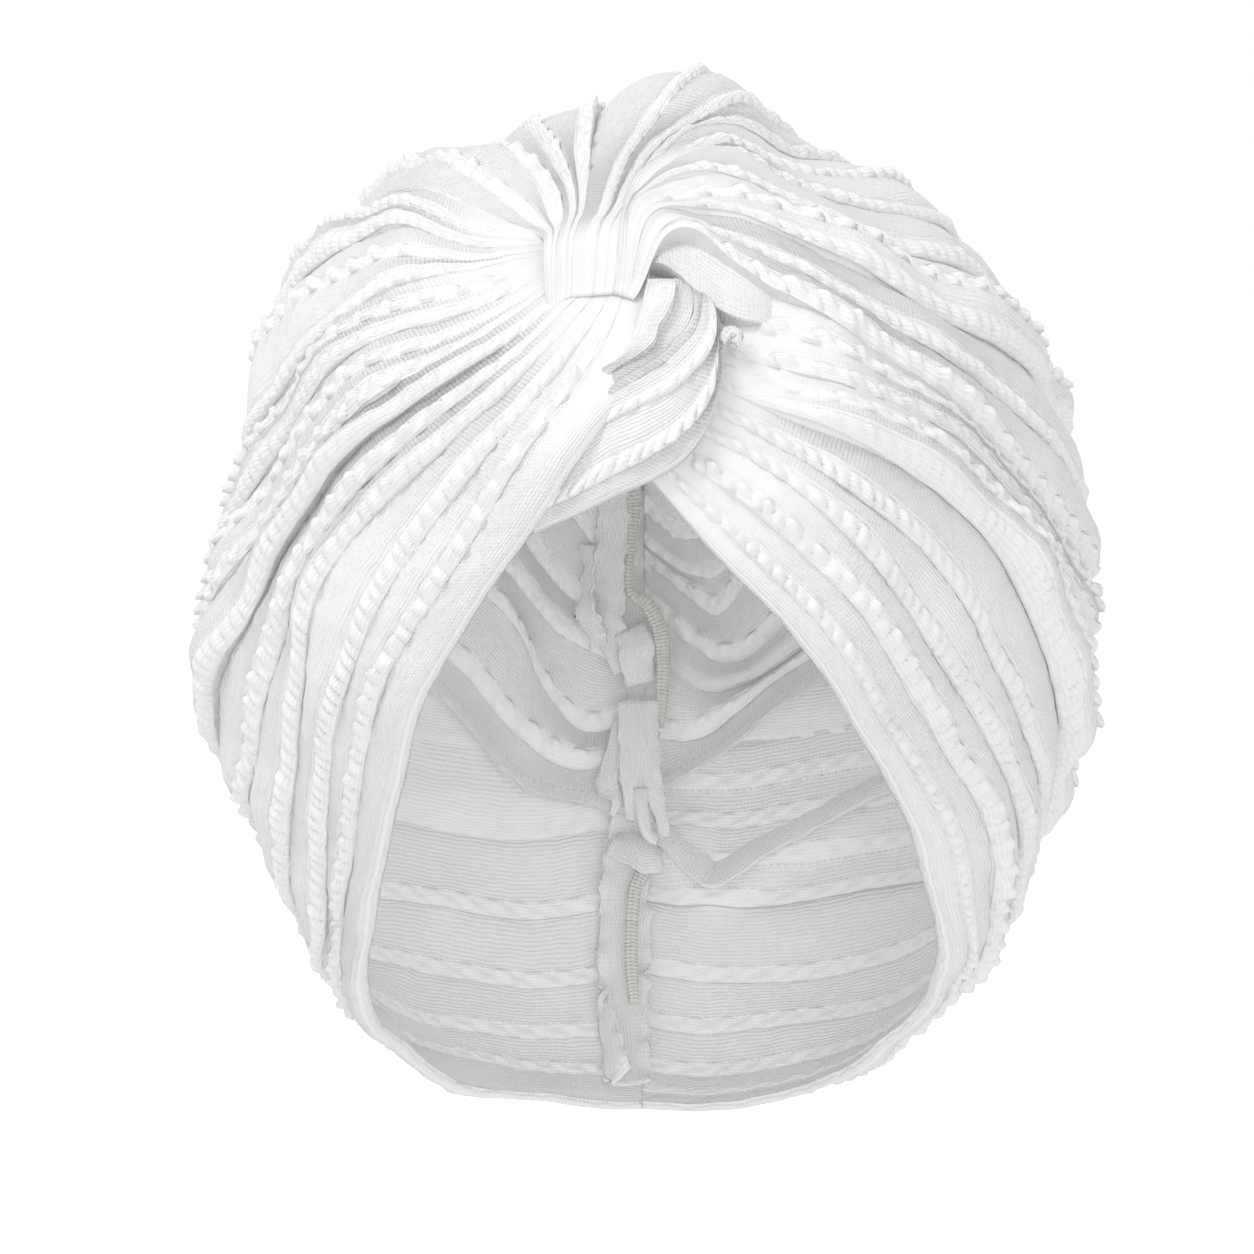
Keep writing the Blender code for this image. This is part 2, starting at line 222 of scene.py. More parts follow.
LINER_LEFT = (
    LinerFold("hem", (1, 22), (42, 14), (92, 6), (122, -3), (147, -13), (159, -23), (170, -26),
              (179.7, -27), 1.6, 0.0, edge_row=False),
    LinerFold("first", (1, 26), (42, 21), (92, 14), (125, 5), (150, -8.8), (160, -17), (169, -21),
              (179.7, -20), 2.4, 1.0),
    LinerFold("second", (1, 30), (42, 28), (92, 24), (130, 13), (157.5, -3), (165, -12), (171, -17),
              (179.7, -16), 2.2, 0.9),
    LinerFold("third", (1, 36), (42, 36), (92, 34), (130, 24), (158, 2), (166.5, -5.5), (173, -8.5),
              (179.7, -11), 2.2, 0.8),
    LinerFold("fourth", (1, 41), (42, 46), (92, 46), (135, 32), (160, 8), (167.5, -0.5), (174, -4),
              (179.7, -6), 2.0, 0.8),
    LinerFold("fifth", (1, 45), (40, 57), (92, 60), (140, 42), (161, 22), (169, 10), (174, 4), (179.7, 2),
              2.0, 0.8),
    LinerFold("sixth", (1, 47), (36, 64), (90, 74), (145, 62), (165, 45), (172, 35), (176, 28), (179.7, 24),
              1.2, 0.5),
    LinerFold("midline", (0.9, 48), (1.2, 66), (2, 80), (90, 89.2), (178, 80), (178.9, 72), (179.3, 60),
              (179.7, 50), 0.6, 0.0),
)

LINER_RIGHT = (
    LinerFold("hem", (1, 22), (42, 14), (92, 6), (125, -3), (151, -12), (164, -19), (171, -22),
              (179.7, -26), 1.6, 0.0, edge_row=False),
    LinerFold("first", (1, 26), (42, 20), (92, 13), (125, 3), (156, -9.8), (164.5, -14.2), (171, -18),
              (179.7, -18), 3.0, 0.9),
    LinerFold("u_fold", (1, 30), (42, 27), (92, 22), (130, 10), (157, -8.2), (165, -12), (171, -12.6),
              (179.7, -8), 5.0, 1.0, edge_row=False),
    LinerFold("u_top", (1, 34), (42, 34), (92, 32), (133, 18), (159, -6), (167, -9.4), (172, -7.4),
              (179.7, -3), 3.2, 1.0),
    LinerFold("swirl", (1, 38), (42, 42), (92, 42), (136, 28), (162, 2), (168, -4), (172, -2.5), (179.7, 3),
              3.4, 0.9, rows=(0.5,)),
    LinerFold("fifth", (1, 43), (40, 54), (92, 57), (140, 42), (162, 18), (169, 8), (174, 6), (179.7, 10),
              2.0, 0.8),
    LinerFold("sixth", (1, 47), (36, 64), (90, 74), (145, 62), (165, 45), (172, 35), (176, 28), (179.7, 26),
              1.2, 0.5),
    LinerFold("midline", (0.9, 48), (1.2, 66), (2, 80), (90, 89.2), (178, 80), (178.9, 72), (179.3, 60),
              (179.7, 50), 0.6, 0.0),
)


class Stop(NamedTuple):
    """A point on the middle line of a ribbon: its place, its gap to the form, its width and its turn."""

    bearing: float
    height: float
    off: float
    width: float
    turn: float


class Ribbon(NamedTuple):
    """A narrow strip of cloth. Sizes are in millimetres and the turn in degrees."""

    name: str
    stops: tuple
    bulge: float = 0.0
    ruffle: float = 0.0
    ragged: float = 0.0
    slot: str = "seam_edge"


SEAM_STRIP = Ribbon("seam_strip", (
    Stop(182.25, 13, 2.4, 12, 0), Stop(182.25, 3, 3.2, 12, 8), Stop(181.25, -5.25, 3.6, 11, 0),
    Stop(180.25, -11.75, 3.6, 8, 0), Stop(180.25, -17.75, 3.4, 9, 0), Stop(181, -25, 3.4, 10, 0),
    Stop(182.5, -31.25, 3, 12, -6), Stop(183.25, -37.75, 2.6, 13, 0), Stop(183.75, -45.5, 2.4, 13, 6),
    Stop(184, -54, 2.6, 12, 8), Stop(184.25, -64.75, 2.5, 11, 8)), ruffle=1.6, ragged=0.9)

SEAM_EDGES = (
    Ribbon("seam_flap_upper", (
        Stop(184.25, 14, 6, 8, 10), Stop(184.75, 5.5, 8, 9, 25), Stop(185.5, -1, 9, 9, 40),
        Stop(184.5, -7.25, 8, 8, 25), Stop(182.5, -11, 6.5, 6, 0)), ruffle=1.2, ragged=0.8),
    Ribbon("seam_flap_side", (
        Stop(188.25, 5.25, 5, 4, 40), Stop(188.75, 0.25, 8, 5, 55), Stop(188.5, -4.25, 9, 6, 45),
        Stop(186.75, -8.25, 8, 4, 20)), ruffle=1.4, ragged=0.9),
    Ribbon("seam_box_upper", (
        Stop(182.25, -6, 9, 8, 0), Stop(181, -8, 11, 9, 10), Stop(181, -10, 10.5, 9, 0),
        Stop(180.25, -12.5, 7, 7, 0)), bulge=1.5, ragged=0.4),
    Ribbon("seam_tape_upper", (
        Stop(181.75, 16, 6.5, 5, 0), Stop(181.25, 11.5, 7.5, 3.4, 0), Stop(181.75, 5.5, 9.5, 2, 0),
        Stop(182, -0.75, 11, 2.4, 0), Stop(179, -3, 12, 3.6, 0), Stop(177, -6, 12, 3.8, 0),
        Stop(176.5, -10.25, 10.5, 3.4, 0), Stop(176.75, -14.5, 9, 3, 0), Stop(177.25, -17.75, 8, 2.4, 0)),
        bulge=0.5, slot="tape"),
    Ribbon("seam_finger_left", (
        Stop(182.25, -14.5, 9, 6, 0), Stop(181.5, -19.25, 11, 7.5, 10), Stop(181.5, -23.5, 12, 7, 0),
        Stop(181.5, -26.25, 12, 5, 0), Stop(182.25, -28.5, 11, 2, 0)), bulge=0.8, ruffle=0.5, ragged=0.4),
    Ribbon("seam_finger_right", (
        Stop(179, -14.5, 9, 5, 0), Stop(179, -19.75, 11, 6, -10), Stop(178.25, -24.5, 12, 5.5, 0),
        Stop(176.75, -27.5, 11, 4, 0), Stop(176, -30, 9, 3, 0)), bulge=0.8, ruffle=0.5, ragged=0.4),
    Ribbon("seam_finger_corner", (
        Stop(183.5, -16.5, 7, 3, 20), Stop(185, -21.25, 8, 5, 30), Stop(186, -24, 9, 6, 20),
        Stop(184.25, -25.75, 9, 2.5, 0), Stop(185.5, -27.5, 9, 1.5, 0)), ruffle=0.5, ragged=0.3),
    Ribbon("seam_finger_front", (
        Stop(180.25, -25.25, 13, 3.5, 0), Stop(180, -28, 14, 3.2, 0), Stop(179, -30.25, 13.5, 3, 0),
        Stop(177, -31, 12, 2.4, 0)), bulge=0.8, ruffle=0.3),
    Ribbon("seam_box_lower", (
        Stop(185.25, -30, 6, 6, 0), Stop(182.25, -31.25, 9, 9, 0), Stop(179, -31.75, 8, 10, 0),
        Stop(176, -31.75, 5, 6, 0)), bulge=1.8, ruffle=0.8, ragged=0.5),
    Ribbon("seam_tape_lower", (
        Stop(179.25, -33, 7.5, 4.2, 0), Stop(181.25, -35.5, 7.5, 3.4, 0), Stop(182, -39.5, 7, 3, 0),
        Stop(182.25, -44.25, 6.5, 3, 0), Stop(181.75, -49.25, 5.5, 2.6, 0)), bulge=0.5, slot="tape"),
    Ribbon("seam_end", (
        Stop(187.75, -47.75, 3, 4, 50), Stop(188.5, -55.75, 6, 7, 62), Stop(188.5, -62, 6.5, 8, 58),
        Stop(187, -65.5, 5, 6, 40)), ruffle=0.8, ragged=0.6),
)

BACK_TUCK = (
    Ribbon("back_tuck", (
        Stop(179, -27.5, 2.0, 6, -10), Stop(174.5, -29.3, 2.6, 8, -14), Stop(168.5, -32.3, 3.2, 9, -14),
        Stop(166.5, -32.3, 3.2, 9, -14), Stop(159, -28.6, 3.2, 9, -14), Stop(150, -25, 2.8, 8, -14),
        Stop(141, -21.8, 2.0, 6, -10), Stop(131, -19.8, 0.6, 4, -4)),
        bulge=0.8, ruffle=0.3, slot="knit_inside"),
)

TWIST_FOLDS = (
    Ribbon("twist_curl", (
        Stop(10.25, 32, 7, 2.2, 0), Stop(11.5, 33, 8, 2.6, 0), Stop(12.75, 32.5, 8, 2.4, 0),
        Stop(12, 31.5, 7.5, 1.8, 0)), bulge=1.0, slot="knit"),
)


class HemColumn(NamedTuple):
    """A column of the rolled hem: its place, its share of the roll and the place behind it, in metres."""

    place: float
    roll: float
    behind: float


HEM_COLUMNS = (
    HemColumn(0.0006, 1.5, 0.0),
    HemColumn(0.0, 0.8, 0.0002),
    HemColumn(0.0008, 0.2, 0.0008),
)


class CreaseColumn(NamedTuple):
    """A column on the way up out of a crease: shares of the overlap and the lip, and metres."""

    overlap: float
    lip: float
    further: float
    rise: float
    extra: float
    behind: float


CREASE_COLUMNS = (
    CreaseColumn(1.0, 0.0, 0.0002, 0.0, -0.0002, 0.0001),
    CreaseColumn(0.5, 0.0, 0.0, 0.0, -0.0001, 0.0002),
    CreaseColumn(0.0, -0.7, 0.0, 0.35, 0.0, 0.0003),
)


def smooth_step(value: np.ndarray, low: float, high: float) -> np.ndarray:
    """Rise softly from 0 below low to 1 above high.

    Args:
        value: Numbers to grade.
        low: Where the rise starts.
        high: Where the rise ends.

    Returns:
        The graded numbers.
    """
    t = np.clip((value - low) / (high - low), 0.0, 1.0)
    return t * t * (3.0 - 2.0 * t)


def direction(bearing: np.ndarray, height: np.ndarray) -> np.ndarray:
    """Unit vector of a place that is given in degrees."""
    bearing, height = np.radians(bearing), np.radians(height)
    level = np.cos(height)
    return np.stack([level * np.sin(bearing), -level * np.cos(bearing), np.sin(height)], -1)


def unit(vectors: np.ndarray) -> np.ndarray:
    """The vectors, each of length one."""
    return vectors / np.linalg.norm(vectors, axis=-1, keepdims=True)


def smooth_line(knots: np.ndarray, steps: int) -> np.ndarray:
    """Run a smooth line through points.

    Args:
        knots: The points, one a row.
        steps: How many points to give between two knots.

    Returns:
        The points of the line.
    """
    knots = np.vstack([2 * knots[0] - knots[1], knots, 2 * knots[-1] - knots[-2]])
    fine = []
    for before, start, end, after in zip(knots, knots[1:], knots[2:], knots[3:]):
        t = np.linspace(0.0, 1.0, steps, endpoint=False)[:, None]
        fine.append(0.5 * (2 * start + (end - before) * t
                           + (2 * before - 5 * start + 4 * end - after) * t ** 2
                           + (3 * start - before - 3 * end + after) * t ** 3))
    return np.vstack(fine + [knots[-2][None]])


def even_spread(line: np.ndarray, values: np.ndarray, count: int) -> tuple[np.ndarray, np.ndarray]:
    """Spread values evenly by the distance along a line.

    Args:
        line: Points of the line.
        values: What goes with each point.
        count: How many to give.

    Returns:
        The values, and how far along the line each lies.
    """
    run = np.concatenate([[0.0], np.linalg.norm(np.diff(line, axis=0), axis=1).cumsum()])
    wanted = np.linspace(0.0, run[-1], count)
    return np.stack([np.interp(wanted, run, column) for column in values.T], -1), wanted


def draws_for(name: str) -> np.random.Generator:
    """Random numbers that always are the same for a name."""
    return np.random.default_rng(sum(ord(letter) * (place + 1) for place, letter in enumerate(name)))


@dataclass(frozen=True)
class HeadForm:
    """The form that every cloth is draped on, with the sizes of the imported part, in metres."""

    half_width: float = 0.098
    crown_rise: float = 0.103
    nape_fall: float = 0.126
    nape_extra: float = 0.030
    back_depth: float = 0.108
    back_taper: float = 0.035
    brow_depth: float = 0.081
    brow_lean: float = 0.35
    neck_shift: float = 0.060
    neck_shift_power: float = 1.3
    left_dents: tuple = ((0.010, 0.036, 0.030), (0.008, -0.072, 0.024))
    roundness: float = 2.35
    seat: float = 0.1002
    spline_steps: int = 24
    wander_waves: tuple = ((0.090, 0.0060), (0.047, 0.0018))
    crumple_seed: int = 5
    crumple_draws: int = 6
    crumple_waves: tuple = ((0.055, 0.0009), (0.024, 0.0003), (0.010, 0.00012))
    pocket: tuple = (-0.079, -0.012, 0.0050, 0.0150, 0.0032)
    peak_aside: float = 0.0070
    peak_back: float = -0.024
    peak_reach: tuple[float, float] = (0.0180, 0.027)
    peak_flatness: float = 1.5
    peak_height: float = 0.0145

    def place(self, way: np.ndarray, offset: np.ndarray | float = 0.0) -> np.ndarray:
        """Find the point of the form in a direction.

        Args:
            way: Directions from the middle of the form.
            offset: How far out from the form the point lies.

        Returns:
            Points in the part's frame.
        """
        way = unit(way)
        share = way / (np.abs(way) ** self.roundness).sum(-1, keepdims=True) ** (1.0 / self.roundness)
        behind = np.maximum(share[..., 1], 0.0)
        below = np.maximum(-share[..., 2], 0.0)
        fall = self.nape_fall + self.nape_extra * behind * below ** 2
        z = np.where(share[..., 2] > 0.0, self.crown_rise, fall) * share[..., 2]
        front = self.brow_depth + self.brow_lean * z
        depth = np.where(share[..., 1] > 0.0, self.back_depth - self.back_taper * below, front)
        y = depth * share[..., 1] + self.neck_shift * below ** self.neck_shift_power
        dent = sum(depth * np.exp(-((z - level) / reach) ** 2) for depth, level, reach in self.left_dents)
        x = self.half_width * share[..., 0] + dent * np.maximum(-share[..., 0], 0.0) ** 2
        return np.stack([x, y, z - self.seat], -1) + way * np.asarray(offset)[..., None]

    def crumple(self, way: np.ndarray) -> np.ndarray:
        """Gentle unevenness of the whole hat, the same for every piece at the same place.

        Args:
            way: Directions from the middle of the form.

        Returns:
            How far out the cloth stands there.
        """
        place = self.place(way)
        draws = np.random.default_rng(self.crumple_seed)
        out = np.zeros(place.shape[:-1])
        for length, height in self.crumple_waves:
            for _ in range(self.crumple_draws):
                across = unit(draws.normal(size=3))
                turns = place @ across * (2.0 * np.pi / length) + draws.uniform(0.0, 2.0 * np.pi)
                out = out + np.sin(turns) * height / self.crumple_draws ** 0.5
        aside, level, reach, tall, depth = self.pocket
        spot = ((place[..., 0] - aside) / reach) ** 2 + ((place[..., 2] + self.seat - level) / tall) ** 2
        return out - depth * np.exp(-spot) * (place[..., 1] < 0.01)

    def peak(self, way: np.ndarray) -> np.ndarray:
        """How far the crown cloth stands out as the rounded peak above the twist.

        Args:
            way: Directions from the middle of the form.

        Returns:
            The distance for each direction.
        """
        place = self.place(way)
        sideways = ((place[..., 0] - self.peak_aside) / self.peak_reach[0]) ** 2
        lengthwise = ((place[..., 1] - self.peak_back) / self.peak_reach[1]) ** 2
        on_top = smooth_step(way[..., 2], 0.2, 0.6)
        return self.peak_height * np.exp(-sideways ** self.peak_flatness - lengthwise) * on_top

    def crease(self, places: tuple, stations: int, name: str) -> tuple[np.ndarray, np.ndarray]:
        """Spread directions evenly on a smooth, slightly wandering line through a crease's places.

        Args:
            places: The crease's (bearing, height) places, in degrees.
            stations: How many directions to give.
            name: The crease's name, which settles how it wanders.

        Returns:
            The directions, and how far along the crease each lies.
        """
        fine = unit(smooth_line(direction(*np.array(places, float).T), self.spline_steps))
        even, run = even_spread(self.place(fine), fine, stations)
        draws = draws_for(name)
        across = unit(np.cross(even, np.gradient(even, axis=0)))
        calm = smooth_step(run, 0.03, 0.07) * smooth_step(run[-1] - run, 0.0, 0.03)
        for length, height in self.wander_waves:
            wave = np.sin(run * 2.0 * np.pi / length + draws.uniform(0.0, 2.0 * np.pi))
            even = even + across * (wave * calm * height)[:, None]
        return unit(even), run


@dataclass(frozen=True)
class Tuck:
    """A tuck of the back cloth that stands inwards in a soft ridge with a sharp lower side."""

    places: tuple = ((179, -29), (175, -31), (167.5, -35), (153.5, -29), (141, -24), (131, -22))
    height: float = 0.0030
    sharp: float = 0.0030
    soft: float = 0.0140
    points: int = 90
    starts: float = 0.08
    ends_from: float = 0.55

    def stand(self, form: HeadForm, way: np.ndarray) -> np.ndarray:
        """How far inwards the tuck stands in each direction.

        Args:
            form: The head form.
            way: Directions from the middle of the form.

        Returns:
            The distance for each direction.
        """
        line = smooth_line(direction(*np.array(self.places, float).T), 16)
        ridge, _ = even_spread(form.place(unit(line)), form.place(unit(line)), self.points)
        place = form.place(way)
        gap = np.linalg.norm(place[:, None] - ridge[None], axis=-1)
        near = gap.argmin(1)
        above = place[:, 2] > ridge[near, 2]
        reach = np.where(above, self.soft, self.sharp)
        share = near / (self.points - 1.0)
        fade = smooth_step(share, 0.0, self.starts) * (1.0 - smooth_step(share, self.ends_from, 1.0))
        return self.height * fade * np.exp(-(gap.min(1) / reach) ** 2)


@dataclass(frozen=True)
class Bubbles:
    """The rows of puffed bubbles, in metres."""

    width: float = 0.0031
    pitch: float = 0.0039
    height: float = 0.0024
    scallop: float = 0.0014
    shift: float = 0.0003
    crinkle: float = 0.00010
    soften: tuple[float, float, float] = (0.25, 0.5, 0.25)
    groove: float = 0.0004
    stitch_below: float = 0.0004
    stitch_above: float = 0.0001
    before_row: float = 0.0008
    after_row: float = 0.0007
    least_band: float = 0.0012
    least_end: float = 0.0002
    first_column: float = 0.35
    edge_rise: float = 0.72
    wider_behind: float = 0.40
    tilt: float = 0.60
    skew: float = 0.85
    sink: float = 0.12
    ease: tuple[float, float] = (0.12, 0.013)
    smallest: tuple[float, float] = (0.25, 0.85)
    widens_from: tuple[float, float] = (0.55, 0.80)
    roundness: float = 0.85
    reach: float = 0.44
    pucker: float = 0.0016
    zigzag: tuple[float, float] = (0.12, 0.75)
    most_of_fold: float = 0.38
    columns: int = 6
    lengths: tuple[float, float] = (0.70, 1.35)
    heights: tuple[float, float] = (0.62, 1.12)
    centres: tuple[float, float] = (0.26, 0.46)
    braided: tuple[float, float] = (0.24, 0.74)
    braided_share: float = 0.4


class BubbleRow:
    """One row of bubbles, each with its own length, height and shift."""

    def __init__(self, bubbles: Bubbles, length: float, draws: np.random.Generator) -> None:
        """Draw the row's bubbles.

        Args:
            bubbles: The sizes that all rows share.
            length: How long the row is, in metres.
            draws: Random numbers of the row.
        """
        count = int(length / bubbles.pitch / bubbles.lengths[0]) + 8
        self.bubbles = bubbles
        self.lengths = bubbles.pitch * draws.uniform(*bubbles.lengths, count)
        self.starts = np.concatenate([[0.0], self.lengths.cumsum()[:-1]])
        self.heights = draws.uniform(*bubbles.heights, count)
        self.shifts = draws.uniform(-1.0, 1.0, count)
        self.centres = draws.uniform(*bubbles.centres, count)
        if draws.random() < bubbles.braided_share:
            self.centres = np.where(np.arange(count) % 2, *bubbles.braided) + 0.04 * self.shifts

    def at(self, run: np.ndarray, place: float) -> tuple[np.ndarray, np.ndarray, np.ndarray, np.ndarray]:
        """Heights, sideways shifts, shapes and bubble numbers along one column.

        Args:
            run: Distances along the row.
            place: Where the column lies across the row, from 0 to 1.

        Returns:
            Heights from 0 to about 1, shifts from -1 to 1, plain humps from 0 to 1, and whole numbers.
        """
        turned = run + self.bubbles.tilt * place * self.bubbles.pitch
        number = np.searchsorted(self.starts, turned, "right") - 1
        share = np.clip((turned - self.starts[number]) / self.lengths[number], 0.0, 1.0)
        hump = np.sin(np.pi * share ** self.bubbles.skew) ** self.bubbles.roundness
        dome = np.exp(-((place - self.centres[number]) / self.bubbles.reach) ** 2)
        return hump * dome * self.heights[number], self.shifts[number] * hump, hump, number


@dataclass
class Cloth:
    """Columns of a draped cloth, gathered one after another from the lower edge up."""

    right: list = field(default_factory=list)
    wrong: list = field(default_factory=list)
    weave: list = field(default_factory=list)
    puff: list = field(default_factory=list)
    stitch: list = field(default_factory=list)
    gather: list = field(default_factory=list)

    def add(self, right: np.ndarray, wrong: np.ndarray, run: np.ndarray, across: np.ndarray | float,
            puff: float = 0.0, stitch: float = 0.0, gather: np.ndarray | float = 0.0) -> None:
        """Add one column.

        Args:
            right: Points of its right side.
            wrong: Points of its wrong side.
            run: Distances along the cloth.
            across: Distances across the cloth.
            puff: How much of a bubble row it is, from 0 to 1.
            stitch: 1 on a stitched line.
            gather: 1 where the cloth is gathered so tightly that its ribs don't show; there painted shade
                darkens it a little.
        """
        count = len(run)
        self.right.append(right)
        self.wrong.append(wrong)
        self.weave.append(np.stack([run, np.broadcast_to(across, count)], -1) / MM)
        self.puff.append(np.full(count, puff))
        self.stitch.append(stitch * smooth_step(run, *STITCHED_FROM))
        self.gather.append(np.broadcast_to(gather, count))


@dataclass(frozen=True)
class KnitLook:
    """How ribs, fuzz, stitch holes and painted shade mix. The scales are turns for a millimetre, the rest
    are shares.
    """

    fuzz_scale: float = 1.1
    fuzz_detail: float = 4.0
    drift_scale: float = 0.16
    drift_detail: float = 1.0
    drift: float = 0.9
    chain_ribs: float = 1.2
    chain_turns: float = 0.7
    chain: float = 0.35
    rib_fuzz: tuple[float, float] = (0.9, 0.1)
    fuzz: float = 0.6
    on_bubbles: float = -0.55
    on_gathers: float = -0.95
    stitched_from: float = 0.86
    hole_scale: float = 3.3
    hole_from: float = 0.6
    hole_depth: float = -1.2
    # Painted shade: the grooves between the ribs are painted darker, as if shadowed.
    painted_groove_shade: float = 0.025
    fuzz_shade: float = 0.08
    plain_shade: float = 0.94
    # Painted shade: the gathered cloth near the twist is painted darker.
    painted_gather_shade: float = -0.09
    roughness: float = 0.92
    sheen: float = 0.2
    sheen_roughness: float = 0.5


class Finish:
    """A procedural knit, made once and shared by the pieces."""

    look = KnitLook()

    def __init__(self, name: str, colour: tuple[float, float, float], rib_pitch: float, rib_depth: float,
                 ribs_along: bool = True, hole_shade: float = 1.0, painted_glow: float = 0.0,
                 band_shade: float = 1.0) -> None:
        """Make the material.

        Args:
            name: The finish's name.
            colour: Linear base colour.
            rib_pitch: Distance between two ribs, in metres.
            rib_depth: Depth of the ribs for the bump, in metres.
            ribs_along: Whether the ribs run along the cloth, and not across it.
            hole_shade: How dark the stitch holes are against the cloth.
            painted_glow: Painted light: how strongly the cloth gives off light evenly of itself, standing in
                for light that the thin cloth lets through from behind.
            band_shade: How light the smooth bands are against the bubble rows.
        """
        self.material = bpy.data.materials.new(name)
        self.material.use_nodes = True
        self.tree = self.material.node_tree
        self.shader = self.tree.nodes["Principled BSDF"]
        self.shader.inputs["Roughness"].default_value = self.look.roughness
        self.shader.inputs["Sheen Weight"].default_value = self.look.sheen
        self.shader.inputs["Sheen Roughness"].default_value = self.look.sheen_roughness
        # Painted light: the cloth gives off light of itself, though it is no lamp.
        self.shader.inputs["Emission Color"].default_value = (1.0, 1.0, 1.0, 1.0)
        self.shader.inputs["Emission Strength"].default_value = painted_glow
        self.colour = colour
        self.knit(rib_pitch / MM, rib_depth, ribs_along, hole_shade, band_shade)

    def node(self, kind: str, **values: float | str | bool) -> bpy.types.Node:
        """Add a node and set its own fields."""
        node = self.tree.nodes.new(kind)
        for key, value in values.items():
            setattr(node, key, value)
        return node

    def math(self, operation: str, *terms: bpy.types.NodeSocket | float) -> bpy.types.NodeSocket:
        """Join values by one operation.

        Args:
            operation: The Math node's operation.
            terms: Sockets or numbers, in order.

        Returns:
            The result's socket.
        """
        node = self.node("ShaderNodeMath", operation=operation)
        for place, term in enumerate(terms):
            if isinstance(term, bpy.types.NodeSocket):
                self.tree.links.new(term, node.inputs[place])
            else:
                node.inputs[place].default_value = term
        return node.outputs[0]

    def knit(self, pitch: float, depth: float, ribs_along: bool, hole_shade: float,
             band_shade: float) -> None:
        """Ribs with stitches on them, fuzz, dark holes on the stitched lines, and painted shade in the rib
        grooves and on the gathered cloth.

        Args:
            pitch: Distance between two ribs, in millimetres.
            depth: Depth of the ribs for the bump, in metres.
            ribs_along: Whether the ribs run along the cloth.
            hole_shade: How dark the stitch holes are against the cloth.
            band_shade: How light the smooth bands are against the bubble rows.
        """
        links, look = self.tree.links, self.look
        cloth = self.node("ShaderNodeUVMap", uv_map="cloth")
        split = self.node("ShaderNodeSeparateXYZ")
        links.new(cloth.outputs["UV"], split.inputs[0])
        along, across = split.outputs["X"], split.outputs["Y"]
        if not ribs_along:
            along, across = across, along
        fuzz = self.noise(cloth, look.fuzz_scale, look.fuzz_detail)
        drift = self.noise(cloth, look.drift_scale, look.drift_detail)
        turns = 2.0 * math.pi / pitch
        wavering = self.math("MULTIPLY_ADD", drift, look.drift, across)
        rib = self.math("SINE", self.math("MULTIPLY", wavering, turns))
        leaning = self.math("MULTIPLY", along, turns * look.chain_turns)
        chain = self.math("MULTIPLY_ADD", rib, look.chain_ribs, leaning)
        knit = self.math("MULTIPLY_ADD", self.math("SINE", chain), look.chain, rib)
        knit = self.math("MULTIPLY", knit, self.math("MULTIPLY_ADD", fuzz, *look.rib_fuzz))
        knit = self.math("MULTIPLY_ADD", fuzz, look.fuzz, knit)
        puff, gathered, stitched = (self.node("ShaderNodeAttribute", attribute_name=name).outputs["Fac"]
                                    for name in ("puff", "gather", "stitch"))
        knit = self.math("MULTIPLY", knit, self.math("MULTIPLY_ADD", puff, look.on_bubbles, 1.0))
        knit = self.math("MULTIPLY", knit, self.math("MULTIPLY_ADD", gathered, look.on_gathers, 1.0))
        on_line = self.math("GREATER_THAN", stitched, look.stitched_from)
        spaced = self.math("SINE", self.math("MULTIPLY", split.outputs["X"], look.hole_scale))
        in_hole = self.math("GREATER_THAN", spaced, look.hole_from)
        hole = self.math("MULTIPLY", on_line, in_hole)
        knit = self.math("MULTIPLY_ADD", hole, look.hole_depth, knit)
        bump = self.node("ShaderNodeBump")
        bump.inputs["Strength"].default_value = 1.0
        bump.inputs["Distance"].default_value = depth
        links.new(knit, bump.inputs["Height"])
        links.new(bump.outputs["Normal"], self.shader.inputs["Normal"])
        fuzzy = self.math("MULTIPLY_ADD", fuzz, look.fuzz_shade, look.plain_shade)
        # Painted shade in the rib grooves.
        shade = self.math("MULTIPLY_ADD", rib, look.painted_groove_shade, fuzzy)
        band = self.math("MULTIPLY_ADD", puff, 1.0 - band_shade, band_shade)
        shade = self.math("MULTIPLY", shade, band)
        # Painted shade: where the ribs are faded out on the gathered cloth, the colour is painted darker in
        # their stead.
        painted_gather_weight = self.math("POWER", gathered, 2.0)
        shade = self.math("MULTIPLY", shade, self.math("MULTIPLY_ADD", painted_gather_weight, look.painted_gather_shade, 1.0))
        shade = self.math("MULTIPLY", shade, self.math("MULTIPLY_ADD", hole, hole_shade - 1.0, 1.0))
        tint = self.node("ShaderNodeVectorMath", operation="SCALE")
        tint.inputs[0].default_value = self.colour
        links.new(shade, tint.inputs["Scale"])
        links.new(tint.outputs["Vector"], self.shader.inputs["Base Color"])

    def noise(self, cloth: bpy.types.Node, scale: float, detail: float) -> bpy.types.NodeSocket:
        """Add a noise that lies still on the cloth."""
        noise = self.node("ShaderNodeTexNoise")
        noise.inputs["Scale"].default_value = scale
        noise.inputs["Detail"].default_value = detail
        self.tree.links.new(cloth.outputs["UV"], noise.inputs["Vector"])
        return noise.outputs["Fac"]


@dataclass(frozen=True)
class Wardrobe:
    """The hat's finishes."""

    outside: Finish
    inside: Finish
    raw_edge: Finish

    @classmethod
    def make(cls) -> "Wardrobe":
        """Make each finish once."""
        return cls(
            Finish("white_jersey", (0.89, 0.89, 0.893), 0.70 * MM, 0.00020),
            # The wrong side is painted a little lighter than the right side and gives off painted light, to
            # brighten the shaded inside of the hat.
            Finish("white_jersey_wrong_side", (0.92, 0.92, 0.922), 0.70 * MM, 0.00016,
                   hole_shade=0.8, painted_glow=0.07, band_shade=0.94),
            Finish("cream_overlock", (0.85, 0.83, 0.77), 0.95 * MM, 0.00030, ribs_along=False),
        )


@dataclass(frozen=True)
class Thinning:
    """How many columns and stations of the wrong side go into one face."""

    columns: int = 3
    stations: int = 2


